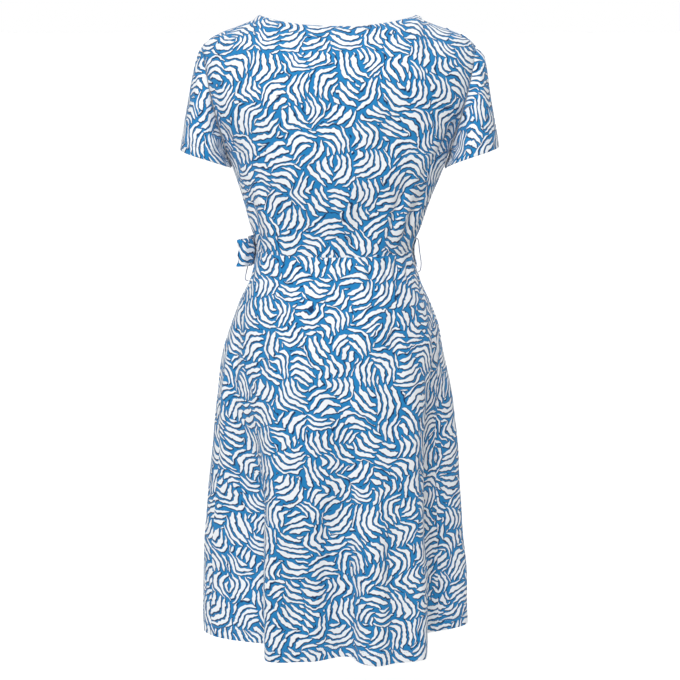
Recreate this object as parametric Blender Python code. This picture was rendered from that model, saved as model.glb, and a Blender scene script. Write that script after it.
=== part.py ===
"""Short-sleeved wrap dress in jersey, in the hollow shape that it has when it is worn.

Metres, +Z up, the front faces -Y and the wearer's left is +X. The origin lies midway between the two
high points of the shoulder seams, where the wearer's shoulders hold the dress up. Every cut piece is a
thin wall of its own: its outer face is worked out from the section tables below, and its inner face
lies one wall's thickness further in, so that the cut edges of two pieces face each other at a seam.
"""
import functools
import math
from collections import namedtuple

import bmesh
import bpy
from mathutils import Vector

# ---------------------------------------------------------------- driving sizes
WALL = 0.0015            # thickness of every cloth wall
SEAM_GAP = 0.0003        # clearance between two pieces sewn together
LAYER_GAP = 0.0007       # clearance between a layer and the one that it lies on
LAYER = WALL + LAYER_GAP

HEM_Z = -0.970
WAIST_Z = -0.350
ARMPIT_Z = -0.198
NECK_POINT_Z = 0.001     # high point of the shoulder seam
NECK_HALF = 0.1158       # half of the neck opening's width
NECK_DROP_BACK = 0.0155  # how far the back neck dips below the shoulder points
NECK_DIP_POWER = 2.4     # 2 is a parabola, more is flatter in the middle
NECK_EDGE_BOW = 0.006    # how far the crossing neck edges curve in towards the chest
SHOULDER_REACH = 0.204   # where the shoulder seam ends, at the armhole
SHOULDER_ROUND_BACK = 0.115   # height over which the back rounds over to the shoulder seam
SHOULDER_ROUND_FRONT = 0.100
SECTION_ROUNDNESS = 2.2  # 2 is an ellipse, more is squarer

BELT_WIDTH = 0.045
BELT_Z = -0.356
KNOT_ANGLE = 126.0
KNOT_HALF_ANGLE = 8.0
KNOT_HALF_HEIGHT = 0.0195
KNOT_DEPTH = 0.013
KNOT_SQUARENESS = 0.7    # 1 is a ball, less is squarer
KNOT_FLAT = 0.55         # share of the ball's radius at which its back is cut flat
THREAD_RADIUS = 0.0006

# Angles turn about the Z axis: 0 is the back (+Y), 90 the wearer's left, 180 the front, 270 the right.
# Half widths and depths of the body's section at each height, with the angle of the side seams.
SECTION_COLUMNS = ("height", "left", "right", "back", "front", "seam")
SECTIONS = (
    (0.010, 0.217, 0.221, 0.100, 0.094, 90.0),
    (-0.045, 0.213, 0.217, 0.102, 0.100, 90.0),
    (-0.085, 0.206, 0.210, 0.105, 0.109, 90.0),
    (-0.130, 0.196, 0.199, 0.107, 0.121, 90.0),
    (-0.180, 0.175, 0.177, 0.106, 0.131, 90.0),
    (-0.226, 0.159, 0.161, 0.103, 0.132, 89.0),
    (-0.269, 0.146, 0.143, 0.096, 0.122, 88.0),
    (-0.306, 0.136, 0.130, 0.089, 0.109, 87.0),
    (-0.350, 0.126, 0.115, 0.084, 0.099, 86.0),
    (-0.372, 0.1292, 0.1187, 0.0885, 0.1015, 85.0),
    (-0.399, 0.137, 0.127, 0.096, 0.106, 84.0),
    (-0.437, 0.155, 0.144, 0.108, 0.113, 82.0),
    (-0.475, 0.168, 0.159, 0.117, 0.119, 80.0),
    (-0.532, 0.182, 0.171, 0.126, 0.124, 79.0),
    (-0.610, 0.194, 0.184, 0.133, 0.129, 79.0),
    (-0.729, 0.206, 0.196, 0.137, 0.135, 80.0),
    (-0.851, 0.215, 0.207, 0.139, 0.142, 81.0),
    (-0.970, 0.219, 0.213, 0.140, 0.150, 82.0),
)

# Height of the shoulder line, and of the line that it would follow on over the upper arm.
SHOULDER_COLUMNS = ("reach", "height")
SHOULDER_LINE = (
    (0.0000, 0.0010),
    (0.1100, 0.0010),
    (0.1158, 0.0010),
    (0.1250, -0.0055),
    (0.1380, -0.0110),
    (0.1680, -0.0220),
    (0.1826, -0.0284),
    (0.1974, -0.0385),
    (0.2050, -0.0475),
    (0.2120, -0.0635),
    (0.2300, -0.1500),
)

# Where the armhole seam lies, from the underarm (share 0) to the shoulder seam (share 1).
ARMHOLE_COLUMNS = ("share", "back", "front")
ARMHOLE = (
    (0.00, 90.0, 90.0),
    (0.12, 85.0, 95.5),
    (0.30, 79.5, 102.5),
    (0.50, 76.5, 106.5),
    (0.75, 77.5, 105.5),
    (1.00, 81.0, 99.0),
)

# Folds hang from a start height, reach full depth at a second one, and fade out at a third where it is
# given. push is outwards, and each fold may be wider towards larger angles than towards smaller ones.
Fold = namedtuple("Fold", "angle push wide_up wide_down start full end")
NO_END = -2.0
FOLDS = tuple(Fold(*row) for row in (
    # back of the skirt: ridges and valleys that open towards the hem
    (62.0, -0.059, 27.0, 24.0, -0.44, -0.97, NO_END),
    (36.0, 0.012, 10.0, 15.0, -0.48, -0.97, NO_END),
    (-4.0, -0.021, 24.0, 12.0, -0.46, -0.97, NO_END),
    (-22.0, 0.019, 11.0, 20.0, -0.50, -0.97, NO_END),
    (-44.0, 0.014, 16.0, 8.0, -0.46, -0.97, NO_END),
    (-76.0, -0.063, 29.0, 18.0, -0.42, -0.97, NO_END),
    # front of the skirt
    (103.0, 0.010, 14.0, 14.0, -0.50, -0.97, NO_END),
    (124.0, -0.030, 18.0, 16.0, -0.46, -0.97, NO_END),
    (151.0, 0.010, 14.0, 14.0, -0.50, -0.97, NO_END),
    (176.0, -0.022, 18.0, 16.0, -0.52, -0.97, NO_END),
    (203.0, 0.012, 15.0, 15.0, -0.48, -0.97, NO_END),
    (232.0, -0.034, 18.0, 20.0, -0.44, -0.97, NO_END),
    # drag folds of the bodice above the waist, and soft gathers under it
    (50.0, -0.0035, 8.0, 9.0, -0.20, -0.26, -0.340),
    (-49.0, -0.0040, 8.0, 7.0, -0.22, -0.29, -0.350),
    (-62.0, -0.0035, 6.0, 7.0, -0.23, -0.29, -0.350),
    (18.0, -0.0030, 12.0, 12.0, -0.24, -0.31, -0.350),
    (-20.0, -0.0030, 12.0, 12.0, -0.25, -0.32, -0.350),
    (140.0, -0.0035, 10.0, 10.0, -0.22, -0.30, -0.350),
    (222.0, -0.0035, 10.0, 10.0, -0.22, -0.30, -0.350),
    (30.0, -0.0030, 9.0, 9.0, -0.353, -0.385, -0.460),
    (-33.0, -0.0035, 9.0, 8.0, -0.353, -0.385, -0.470),
    (-55.0, -0.0035, 8.0, 8.0, -0.353, -0.380, -0.450),
))

# Rows and columns of the walls
LOWER_ROWS = 6           # waist to underarm, closer together near the waist
LOWER_EASE = 1.4
ARMHOLE_ROWS = 10        # underarm to shoulder seam
BACK_COLUMNS = 32
NECK_COLUMNS = 7         # of the 16 columns of each half, those that end on the back neckline
FRONT_COLUMNS = 13
SKIRT_ROWS = 14          # closer together near the waist, where the hips curve out
SKIRT_EASE = 1.5
SKIRT_BACK_COLUMNS = 38
SKIRT_FRONT_COLUMNS = 28
WRAP_COLUMN = 9          # column of the skirt fronts where a wrapped edge hangs, from either side
SLEEVE_ROWS = 6

# Materials: name, base colour (linear), roughness
JERSEY = ("printed_jersey", (0.25, 0.47, 0.74, 1.0), 0.85)
THREAD = ("carrier_thread", (0.30, 0.33, 0.42, 1.0), 0.80)


# ---------------------------------------------------------------- tables
def column(rows, columns, name, at):
    """Read a named column of a table at any place between its rows, on a smooth curve through them."""
    index = columns.index(name)
    keys = [row[0] for row in rows]
    values = [row[index] for row in rows]
    if keys[0] > keys[-1]:
        keys.reverse()
        values.reverse()
    if at <= keys[0]:
        return values[0]
    if at >= keys[-1]:
        return values[-1]
    slot = max(i for i in range(len(keys) - 1) if keys[i] <= at)
    span = keys[slot + 1] - keys[slot]
    share = (at - keys[slot]) / span
    start_slope = slope(keys, values, slot) * span
    end_slope = slope(keys, values, slot + 1) * span
    rise = values[slot + 1] - values[slot]
    return (values[slot] + start_slope * share
            + (3.0 * rise - 2.0 * start_slope - end_slope) * share ** 2
            + (start_slope + end_slope - 2.0 * rise) * share ** 3)


def slope(keys, values, slot):
    """Slope of a table's curve at one of its rows, flat where the values turn."""
    if slot == 0 or slot == len(keys) - 1:
        near = min(slot, len(keys) - 2)
        return (values[near + 1] - values[near]) / (keys[near + 1] - keys[near])
    before = (values[slot] - values[slot - 1]) / (keys[slot] - keys[slot - 1])
    after = (values[slot + 1] - values[slot]) / (keys[slot + 1] - keys[slot])
    if before * after <= 0.0:
        return 0.0
    return 2.0 * before * after / (before + after)


def smooth(share):
    share = min(max(share, 0.0), 1.0)
    return share * share * (3.0 - 2.0 * share)


def mix(start, end, share):
    return start + (end - start) * share


# ---------------------------------------------------------------- the body's surface
def fold_push(angle, height):
    """Sum of the folds at a place, outwards."""
    total = 0.0
    for fold in FOLDS:
        away = (angle - fold.angle + 540.0) % 360.0 - 180.0
        reach = away / (fold.wide_up if away > 0.0 else fold.wide_down)
        if abs(reach) >= 1.0 or height > fold.start:
            continue
        grown = min((fold.start - height) / (fold.start - fold.full), 1.0)
        if fold.end != NO_END:
            grown = smooth(grown) * smooth((height - fold.end) / (fold.full - fold.end))
        total += fold.push * grown * math.cos(reach * math.pi / 2.0) ** 2
    return total


def section_radius(angle, height):
    across = math.sin(math.radians(angle))
    along = math.cos(math.radians(angle))
    wide = column(SECTIONS, SECTION_COLUMNS, "left" if across > 0.0 else "right", height)
    deep = column(SECTIONS, SECTION_COLUMNS, "back" if along > 0.0 else "front", height)
    powers = (abs(across) / wide) ** SECTION_ROUNDNESS + (abs(along) / deep) ** SECTION_ROUNDNESS
    return powers ** (-1.0 / SECTION_ROUNDNESS) + fold_push(angle, height)


def surface(angle, height):
    """Outer face of the dress. Near the shoulders the section closes in to the shoulder seam."""
    radius = section_radius(angle, height)
    x = radius * math.sin(math.radians(angle))
    y = radius * math.cos(math.radians(angle))
    line = column(SHOULDER_LINE, SHOULDER_COLUMNS, "height", abs(x))
    rounding = SHOULDER_ROUND_BACK if y > 0.0 else SHOULDER_ROUND_FRONT
    drop = min(max((line - height) / rounding, 0.0), 1.0)
    return Vector((x, y * math.sqrt(1.0 - (1.0 - drop) ** 2), height))


SLOPE_HEIGHT = 0.003     # how far either side of a place its slope is measured, up and around
SLOPE_ANGLE = 1.5


def outward(angle, height):
    """Direction straight out of the dress at a place on its surface."""
    up = surface(angle, height + SLOPE_HEIGHT) - surface(angle, height - SLOPE_HEIGHT)
    around = surface(angle + SLOPE_ANGLE, height) - surface(angle - SLOPE_ANGLE, height)
    return up.cross(around).normalized()


def lifted(angle, height, out):
    """A point moved straight out from the dress."""
    return surface(angle, height) + outward(angle, height) * out


def side_seam(side, height):
    """Angle of the side seam: side is 1 for the wearer's left and -1 for the right."""
    angle = column(SECTIONS, SECTION_COLUMNS, "seam", height)
    return angle if side > 0 else 360.0 - angle


@functools.lru_cache(maxsize=None)
def angle_reaching(x, height, front):
    """Angle on the back or the front at which the surface reaches out to x."""
    low, high = 0.0, 90.0
    for _ in range(40):
        middle = (low + high) / 2.0
        turned = 180.0 - middle if front else middle
        if x < 0.0:
            turned = -turned
        if abs(surface(turned, height).x) < abs(x):
            low = middle
        else:
            high = middle
    if front:
        return 180.0 - low if x > 0.0 else 180.0 + low
    return low if x > 0.0 else -low


def line_height(reach):
    return column(SHOULDER_LINE, SHOULDER_COLUMNS, "height", abs(reach))


# ---------------------------------------------------------------- edges of the bodice
def armhole(side, front, share):
    """Angle and height of the armhole seam, from the underarm to the shoulder seam."""
    top = line_height(SHOULDER_REACH)
    height = mix(ARMPIT_Z, top, (1.0 - math.cos(math.pi * share)) / 2.0)
    angle = column(ARMHOLE, ARMHOLE_COLUMNS, "front" if front else "back", share)
    end = angle_reaching(side * SHOULDER_REACH, top, front)
    if side < 0:
        angle = 360.0 - angle if front else -angle
    return mix(angle, end, share ** 4), height


def side_edge(side, front, row):
    """Angle and height of a bodice panel's outer edge: side seam first, armhole above it."""
    if row <= LOWER_ROWS:
        height = mix(WAIST_Z, ARMPIT_Z, (row / LOWER_ROWS) ** LOWER_EASE)
        angle = side_seam(side, height)
        if side < 0 and not front:
            angle -= 360.0
        return angle, height
    return armhole(side, front, (row - LOWER_ROWS) / ARMHOLE_ROWS)


def top_weight(row):
    """How far a row follows the neckline and the shoulder seam: 0 up to the underarm, 1 at the top."""
    share = max(row - LOWER_ROWS, 0) / ARMHOLE_ROWS
    return (1.0 - math.cos(math.pi * share)) / 2.0


def back_top(share):
    """Point of the back's top edge: neckline in the middle, shoulder seams beside it."""
    half = BACK_COLUMNS / 2
    neck_share = NECK_COLUMNS / half
    side = 1.0 if share >= 0.0 else -1.0
    if abs(share) <= neck_share:
        x = NECK_HALF * abs(share) / neck_share
        height = NECK_POINT_Z - NECK_DROP_BACK * (1.0 - (x / NECK_HALF) ** NECK_DIP_POWER)
    else:
        x = mix(NECK_HALF, SHOULDER_REACH, (abs(share) - neck_share) / (1.0 - neck_share))
        height = line_height(x)
    return angle_reaching(side * x, height, False) if x > 0.0 else 0.0, height


def back_place(column_index, row):
    """Angle and height of a point of the back bodice's grid."""
    share = 2.0 * column_index / BACK_COLUMNS - 1.0
    side = 1 if share >= 0.0 else -1
    edge_angle, edge_height = side_edge(side, False, row)
    top_edge_angle, top_edge_height = side_edge(side, False, LOWER_ROWS + ARMHOLE_ROWS)
    top_angle, top_height = back_top(share)
    weight = top_weight(row)
    angle = abs(share) * edge_angle + weight * (top_angle - abs(share) * top_edge_angle)
    return angle, edge_height + weight * (top_height - top_edge_height)


def wrap_angle(side):
    """Angle of a wrapped front's free edge below the waist; side is the side that the panel starts on."""
    left = side_seam(1, WAIST_Z)
    right = side_seam(-1, WAIST_Z)
    share = WRAP_COLUMN / SKIRT_FRONT_COLUMNS
    return mix(right, left, share) if side > 0 else mix(left, right, share)


def neck_edge(side, row):
    """Angle and height of a front's crossing neck edge, from the waist to the shoulder seam."""
    edge_height = side_edge(side, True, row)[1]
    top_height = line_height(SHOULDER_REACH)
    share = (edge_height - WAIST_Z) / (top_height - WAIST_Z)
    height = mix(WAIST_Z, NECK_POINT_Z, share)
    foot = surface(wrap_angle(side), WAIST_Z).x
    x = mix(foot, side * NECK_HALF, share) - side * NECK_EDGE_BOW * math.sin(math.pi * share)
    if abs(x) < 1e-6:
        return 180.0, height
    return angle_reaching(x, height, True), height


def front_place(side, column_index, row):
    """Angle and height of a point of a front bodice's grid, from its side edge to its neck edge."""
    share = column_index / FRONT_COLUMNS
    edge_angle, edge_height = side_edge(side, True, row)
    neck_angle, neck_height = neck_edge(side, row)
    top_row = LOWER_ROWS + ARMHOLE_ROWS
    top_edge_angle, top_edge_height = side_edge(side, True, top_row)
    top_neck_angle, top_neck_height = neck_edge(side, top_row)
    reach = mix(SHOULDER_REACH, NECK_HALF, share)
    top_angle = angle_reaching(side * reach, line_height(reach), True)
    weight = top_weight(row)
    angle = mix(edge_angle, neck_angle, share)
    angle += weight * (top_angle - mix(top_edge_angle, top_neck_angle, share))
    height = mix(edge_height, neck_height, share)
    height += weight * (line_height(reach) - mix(top_edge_height, top_neck_height, share))
    return angle, height


# ---------------------------------------------------------------- layers of the front
LIFT_ANGLE = 272.0       # the overlapping front starts to rise here, and is up after LIFT_TURN degrees
LIFT_TURN = 42.0
LIFT_TOP = -0.10         # above this it lies against the shoulder like the other front
LIFT_DROP = 0.085
STEP_TURN = 9.0          # the belt comes down from the overlapping front's edge over this angle


def over_lift(angle, height):
    """How far the overlapping front lies out from the dress: nothing at its side seam and shoulder."""
    side = smooth((LIFT_ANGLE - angle) / LIFT_TURN)
    low = smooth((LIFT_TOP - height) / LIFT_DROP)
    return LAYER * side * low


def front_lift(angle, height):
    """How far the outermost layer of the front lies out, wherever the belt rests on it."""
    edge = wrap_angle(-1)
    if angle >= edge:
        return over_lift(angle, height)
    return over_lift(edge, height) * smooth((angle - edge + STEP_TURN) / STEP_TURN)


# ---------------------------------------------------------------- meshes
TOUCHING = 0.0001        # closer than this counts as on the shoulder seam


def new_material(name, colour, roughness):
    material = bpy.data.materials.get(name)
    if material:
        return material
    material = bpy.data.materials.new(name)
    material.use_nodes = True
    shader = material.node_tree.nodes["Principled BSDF"]
    shader.inputs["Base Color"].default_value = colour
    shader.inputs["Roughness"].default_value = roughness
    shader.inputs["Metallic"].default_value = 0.0
    return material


def add_object(name, data, material):
    piece = bpy.data.objects.new(name, data)
    bpy.context.scene.collection.objects.link(piece)
    data.materials.append(new_material(*material))
    return piece


def facing(place, at_column, at_row):
    """Direction out of a piece that hangs free of the dress, from its own grid."""
    step = 0.05
    across = place(at_column + step, at_row) - place(at_column - step, at_row)
    up = place(at_column, at_row + step) - place(at_column, at_row - step)
    return across.cross(up).normalized()


def cloth(name, columns, rows, place, ring=False):
    """A wall of cloth on a flat grid: place(column, row) gives its outer point and its way out.

    The grid is extruded into a second face, and the first face is moved in by the wall's thickness.
    """
    mesh = bpy.data.meshes.new(name)
    wall = bmesh.new()
    way_out = wall.verts.layers.float_vector.new("way_out")
    bmesh.ops.create_grid(wall, x_segments=columns, y_segments=rows, size=0.5)
    for vertex in wall.verts:
        at_column = round((vertex.co.x + 0.5) * columns)
        at_row = round((vertex.co.y + 0.5) * rows)
        vertex.co, vertex[way_out] = place(at_column, at_row)
    if ring:
        bmesh.ops.remove_doubles(wall, verts=wall.verts, dist=0.00001)
    bmesh.ops.triangulate(wall, faces=wall.faces, quad_method="FIXED")
    inner = list(wall.verts)
    bmesh.ops.extrude_face_region(wall, geom=wall.faces, use_keep_orig=True)
    for vertex in inner:
        vertex.co -= vertex[way_out] * WALL
    bmesh.ops.recalc_face_normals(wall, faces=wall.faces)
    wall.to_mesh(mesh)
    wall.free()
    mesh.shade_smooth()
    return add_object(name, mesh, JERSEY)


def sewn(columns, rows, spot, lift=None):
    """Place for a panel on the dress: every edge stands back by half a seam's clearance.

    spot(column, row) gives the angle and height of a grid point, and lift how far out it lies.
    """
    def point(at_column, at_row):
        angle, height = spot(at_column, at_row)
        return lifted(angle, height, lift(angle, height) if lift else 0.0)

    def place(at_column, at_row):
        angle, height = spot(at_column, at_row)
        out = outward(angle, height)
        here = point(at_column, at_row)
        on_line = abs(height - line_height(here.x)) < TOUCHING
        if on_line and abs(here.x) > NECK_HALF - TOUCHING:
            out = Vector((out.x, 0.0, out.z)).normalized()
        moved = here.copy()
        if at_column in (0, columns):
            beside = point(1 if at_column == 0 else columns - 1, at_row)
            moved += (beside - here).normalized() * (SEAM_GAP / 2.0)
        if at_row in (0, rows):
            beside = point(at_column, 1 if at_row == 0 else rows - 1)
            moved += (beside - here).normalized() * (SEAM_GAP / 2.0)
        return moved, out
    return place


# ---------------------------------------------------------------- bodice
def build_bodice():
    rows = LOWER_ROWS + ARMHOLE_ROWS

    def back(at_column, at_row):
        return back_place(BACK_COLUMNS - at_column, at_row)

    def under(at_column, at_row):
        return front_place(1, FRONT_COLUMNS - at_column, at_row)

    def over(at_column, at_row):
        return front_place(-1, at_column, at_row)

    cloth("bodice_back", BACK_COLUMNS, rows, sewn(BACK_COLUMNS, rows, back))
    cloth("bodice_front_under", FRONT_COLUMNS, rows, sewn(FRONT_COLUMNS, rows, under))
    cloth("bodice_front_over", FRONT_COLUMNS, rows, sewn(FRONT_COLUMNS, rows, over, over_lift))


# ---------------------------------------------------------------- sleeves
CUFF_OUTER = {1: Vector((0.236, 0.0, -0.1905)), -1: Vector((-0.2415, 0.0, -0.1905))}
CUFF_INNER = {1: Vector((0.1685, 0.0, -0.2170)), -1: Vector((-0.1700, 0.0, -0.2170))}
CUFF_HALF_DEPTH = 0.066
SLEEVE_MIDDLE = Vector((0.24, 0.0, -0.12))   # a point inside the wearer's left sleeve
CROWN_RISE = Vector((-0.005, 0.0, 0.056))    # how the top of the sleeve head stands over a straight line
SLEEVE_FULLNESS = Vector((0.004, 0.014, 0.0))
SLEEVE_GAP = 1.4 * SEAM_GAP                  # the sleeve starts a seam's clearance into the armhole


def sleeve_point(side, around, along):
    """Point of a sleeve: around runs from the underarm over the back, the top and the front, 0 to 1."""
    around %= 1.0
    front = around > 0.5
    share = 2.0 * (1.0 - around) if front else 2.0 * around
    facing_back = -1.0 if front else 1.0
    start = surface(*armhole(side, front, share)) + into_armhole(side, front, share) * SLEEVE_GAP
    centre = (CUFF_INNER[side] + CUFF_OUTER[side]) / 2.0
    half = (CUFF_OUTER[side] - CUFF_INNER[side]) / 2.0
    turn = math.pi * share
    end = centre - half * math.cos(turn)
    end.y += facing_back * CUFF_HALF_DEPTH * math.sin(turn)
    control = (start + end) / 2.0
    control += Vector((side * CROWN_RISE.x, 0.0, CROWN_RISE.z)) * share ** 4
    control.x += side * SLEEVE_FULLNESS.x * math.sin(turn)
    control.y += facing_back * SLEEVE_FULLNESS.y * math.sin(turn)
    return start * (1.0 - along) ** 2 + control * 2.0 * along * (1.0 - along) + end * along ** 2


def into_armhole(side, front, share):
    """Direction from the armhole seam towards the sleeve's middle and out from the bodice."""
    seam = surface(*armhole(side, front, share))
    middle = Vector((side * SLEEVE_MIDDLE.x, SLEEVE_MIDDLE.y, SLEEVE_MIDDLE.z))
    return (middle - seam).normalized()


def build_sleeves():
    columns = 2 * ARMHOLE_ROWS
    for side, name in ((1, "sleeve_left"), (-1, "sleeve_right")):
        def point(at_column, at_row, side=side):
            around = at_column / columns
            return sleeve_point(side, 1.0 - around if side > 0 else around, 1.0 - at_row / SLEEVE_ROWS)

        def place(at_column, at_row, side=side, point=point):
            out = facing(point, at_column, at_row)
            if at_row == SLEEVE_ROWS:
                share = 1.0 - abs(1.0 - 2.0 * at_column / columns)
                front = (at_column > columns / 2) == (side < 0)
                hole = into_armhole(side, front, share)
                out -= hole * max(out.dot(hole), 0.0)
            return point(at_column, at_row), out.normalized()
        cloth(name, columns, SLEEVE_ROWS, place, ring=True)


# ---------------------------------------------------------------- skirt
def skirt_height(at_row):
    return mix(HEM_Z, WAIST_Z, 1.0 - (1.0 - at_row / SKIRT_ROWS) ** SKIRT_EASE)


def front_angle(column_index, height):
    """Columns of both skirt fronts share these angles, from the left side seam to the right one."""
    return mix(side_seam(1, height), side_seam(-1, height), column_index / SKIRT_FRONT_COLUMNS)


def build_skirt():
    wide = SKIRT_FRONT_COLUMNS - WRAP_COLUMN

    def back(at_column, at_row):
        height = skirt_height(at_row)
        return (1.0 - 2.0 * at_column / SKIRT_BACK_COLUMNS) * side_seam(1, height), height

    def under(at_column, at_row):
        height = skirt_height(at_row)
        return front_angle(wide - at_column, height), height

    def over(at_column, at_row):
        height = skirt_height(at_row)
        return front_angle(SKIRT_FRONT_COLUMNS - at_column, height), height

    cloth("skirt_back", SKIRT_BACK_COLUMNS, SKIRT_ROWS, sewn(SKIRT_BACK_COLUMNS, SKIRT_ROWS, back))
    cloth("skirt_front_under", wide, SKIRT_ROWS, sewn(wide, SKIRT_ROWS, under))
    cloth("skirt_front_over", wide, SKIRT_ROWS, sewn(wide, SKIRT_ROWS, over, over_lift))


# ---------------------------------------------------------------- belt
BAND_COLUMNS = 25
BAND_START = 1.0         # degrees in front of the right side seam, where the band is sewn on
BAND_PAST_KNOT = 2.0     # degrees by which it ends behind the middle of the knot
BELT_ROWS = 6
BAND_EASE = 0.0004       # the band spans the hollow of the waist without touching it
# A loop of the bow leaves the knot, runs out along the dress, turns and comes back outside itself.
# out is the distance of the band's middle from the dress, and tall the height of the band there.
LOOP_COLUMNS = ("step", "angle", "out", "tall")
LOOP_LEFT = (
    (0, 118.05, 0.0040, 0.029),
    (1, 110.0, 0.0022, 0.041),
    (2, 100.0, 0.0022, 0.042),
    (3, 92.0, 0.0022, 0.038),
    (4, 87.0, 0.0024, 0.036),
    (5, 83.0, 0.0090, 0.041),
    (6, 80.0, 0.0200, 0.045),
    (7, 80.5, 0.0285, 0.046),
    (8, 83.0, 0.0240, 0.045),
    (9, 85.5, 0.0130, 0.040),
    (10, 88.0, 0.0068, 0.036),
    (11, 94.0, 0.0090, 0.040),
    (12, 102.0, 0.0150, 0.043),
    (13, 110.0, 0.0150, 0.040),
    (14, 118.0, 0.0105, 0.029),
)
LOOP_RIGHT = (
    (0, 134.05, 0.0060, 0.029),
    (1, 142.0, 0.0055, 0.041),
    (2, 150.0, 0.0058, 0.044),
    (3, 158.0, 0.0060, 0.045),
    (4, 163.0, 0.0080, 0.045),
    (5, 164.5, 0.0120, 0.045),
    (6, 162.0, 0.0170, 0.045),
    (7, 156.0, 0.0205, 0.045),
    (8, 149.0, 0.0205, 0.043),
    (9, 141.5, 0.0170, 0.040),
    (10, 135.2, 0.0110, 0.030),
)
LOOP_SEGMENTS = 26
LOOP_ROWS = 4
# Tails: middle angle, half width and distance out, at each height.
TAIL_COLUMNS = ("height", "angle", "half", "out")
TAIL_LONG = (
    (-0.3760, 129.5, 0.0075, 0.0095),
    (-0.3900, 132.0, 0.0130, 0.0066),
    (-0.4200, 132.5, 0.0200, 0.0034),
    (-0.5000, 132.0, 0.0225, 0.0026),
    (-0.7300, 131.0, 0.0225, 0.0026),
)
TAIL_SHORT = (
    (-0.3760, 122.2, 0.0075, 0.0095),
    (-0.3900, 117.5, 0.0130, 0.0066),
    (-0.4200, 111.0, 0.0200, 0.0034),
    (-0.5000, 109.0, 0.0225, 0.0026),
    (-0.6700, 108.5, 0.0225, 0.0026),
)
TAIL_ROWS = 14
TAIL_SEGMENTS = 4


def band_lift(angle, height):
    """Outer face of the band across the front."""
    return front_lift(angle, height) + LAYER + BAND_EASE


def build_band():
    start = side_seam(-1, BELT_Z) - BAND_START
    end = KNOT_ANGLE - BAND_PAST_KNOT

    def place(at_column, at_row):
        angle = mix(start, end, at_column / BAND_COLUMNS)
        height = BELT_Z + BELT_WIDTH * (at_row / BELT_ROWS - 0.5)
        return lifted(angle, height, band_lift(angle, height)), outward(angle, height)

    cloth("belt_band", BAND_COLUMNS, BELT_ROWS, place)


def build_knot():
    """The knot is a soft wad of cloth with a flattened back, made from a ball bent over the band."""
    mesh = bpy.data.meshes.new("belt_knot")
    ball = bmesh.new()
    bmesh.ops.create_uvsphere(ball, u_segments=16, v_segments=10, radius=1.0)
    for vertex in ball.verts:
        across, deep, up = (math.copysign(abs(value) ** KNOT_SQUARENESS, value) for value in vertex.co)
        angle = KNOT_ANGLE + across * KNOT_HALF_ANGLE
        height = BELT_Z + up * KNOT_HALF_HEIGHT
        clear = band_lift(angle, height) + LAYER_GAP
        depth = (max(deep, -KNOT_FLAT) + KNOT_FLAT) / (1.0 + KNOT_FLAT) * KNOT_DEPTH
        vertex.co = lifted(angle, height, clear + depth)
    bmesh.ops.recalc_face_normals(ball, faces=ball.faces)
    ball.to_mesh(mesh)
    ball.free()
    mesh.shade_smooth()
    add_object("belt_knot", mesh, JERSEY)


def build_loops():
    for name, rows in (("belt_loop_left", LOOP_LEFT), ("belt_loop_right", LOOP_RIGHT)):
        def point(at_column, at_row, rows=rows):
            step = rows[-1][0] * at_column / LOOP_SEGMENTS
            angle = column(rows, LOOP_COLUMNS, "angle", step)
            out = column(rows, LOOP_COLUMNS, "out", step)
            tall = column(rows, LOOP_COLUMNS, "tall", step)
            height = BELT_Z + tall * (at_row / LOOP_ROWS - 0.5)
            return lifted(angle, height, front_lift(angle, height) + out)

        def place(at_column, at_row, point=point):
            out = facing(point, at_column, at_row)
            return point(at_column, at_row) + out * (WALL / 2.0), out

        cloth(name, LOOP_SEGMENTS, LOOP_ROWS, place)


def build_tails():
    for name, rows in (("belt_tail_long", TAIL_LONG), ("belt_tail_short", TAIL_SHORT)):
        def point(at_column, at_row, rows=rows):
            height = mix(rows[-1][0], rows[0][0], at_row / TAIL_ROWS)
            middle = column(rows, TAIL_COLUMNS, "angle", height)
            half = column(rows, TAIL_COLUMNS, "half", height)
            out = column(rows, TAIL_COLUMNS, "out", height)
            turn = math.degrees(half / section_radius(middle, height))
            angle = middle + turn * (1.0 - 2.0 * at_column / TAIL_SEGMENTS)
            return lifted(angle, height, front_lift(angle, height) + out)

        def place(at_column, at_row, point=point):
            return point(at_column, at_row), facing(point, at_column, at_row)

        cloth(name, TAIL_SEGMENTS, TAIL_ROWS, place)


# ---------------------------------------------------------------- belt carriers
# Thread loops at the side seams: where they start and end, how far they stand out, and how square they are.
Carrier = namedtuple("Carrier", "name side top bottom bulge squareness")
CARRIERS = (
    Carrier("carrier_left", 1, -0.3260, -0.3960, 0.0103, 5.0),
    Carrier("carrier_right", -1, -0.3310, -0.3850, 0.0100, 2.4),
)
CARRIER_ANGLE = 88.0
CARRIER_POINTS = 15


def build_carriers():
    for carrier in CARRIERS:
        curve = bpy.data.curves.new(carrier.name, "CURVE")
        curve.dimensions = "3D"
        curve.bevel_depth = THREAD_RADIUS
        curve.bevel_resolution = 2
        curve.use_fill_caps = True
        spline = curve.splines.new("POLY")
        spline.points.add(CARRIER_POINTS - 1)
        for index, point in enumerate(spline.points):
            turn = math.pi * index / (CARRIER_POINTS - 1)
            share = (1.0 - math.cos(turn)) / 2.0
            height = mix(carrier.top, carrier.bottom, share)
            arc = (1.0 - abs(2.0 * share - 1.0) ** carrier.squareness) ** (1.0 / carrier.squareness)
            out = THREAD_RADIUS + 2.0 * SEAM_GAP + carrier.bulge * arc
            seam = surface(carrier.side * CARRIER_ANGLE, height)
            point.co = (seam.x + carrier.side * out, seam.y, seam.z, 1.0)
        add_object(carrier.name, curve, THREAD)


def main():
    for old in list(bpy.data.objects):
        bpy.data.objects.remove(old, do_unlink=True)
    build_bodice()
    build_sleeves()
    build_skirt()
    build_band()
    build_knot()
    build_loops()
    build_tails()
    build_carriers()


main()
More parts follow.
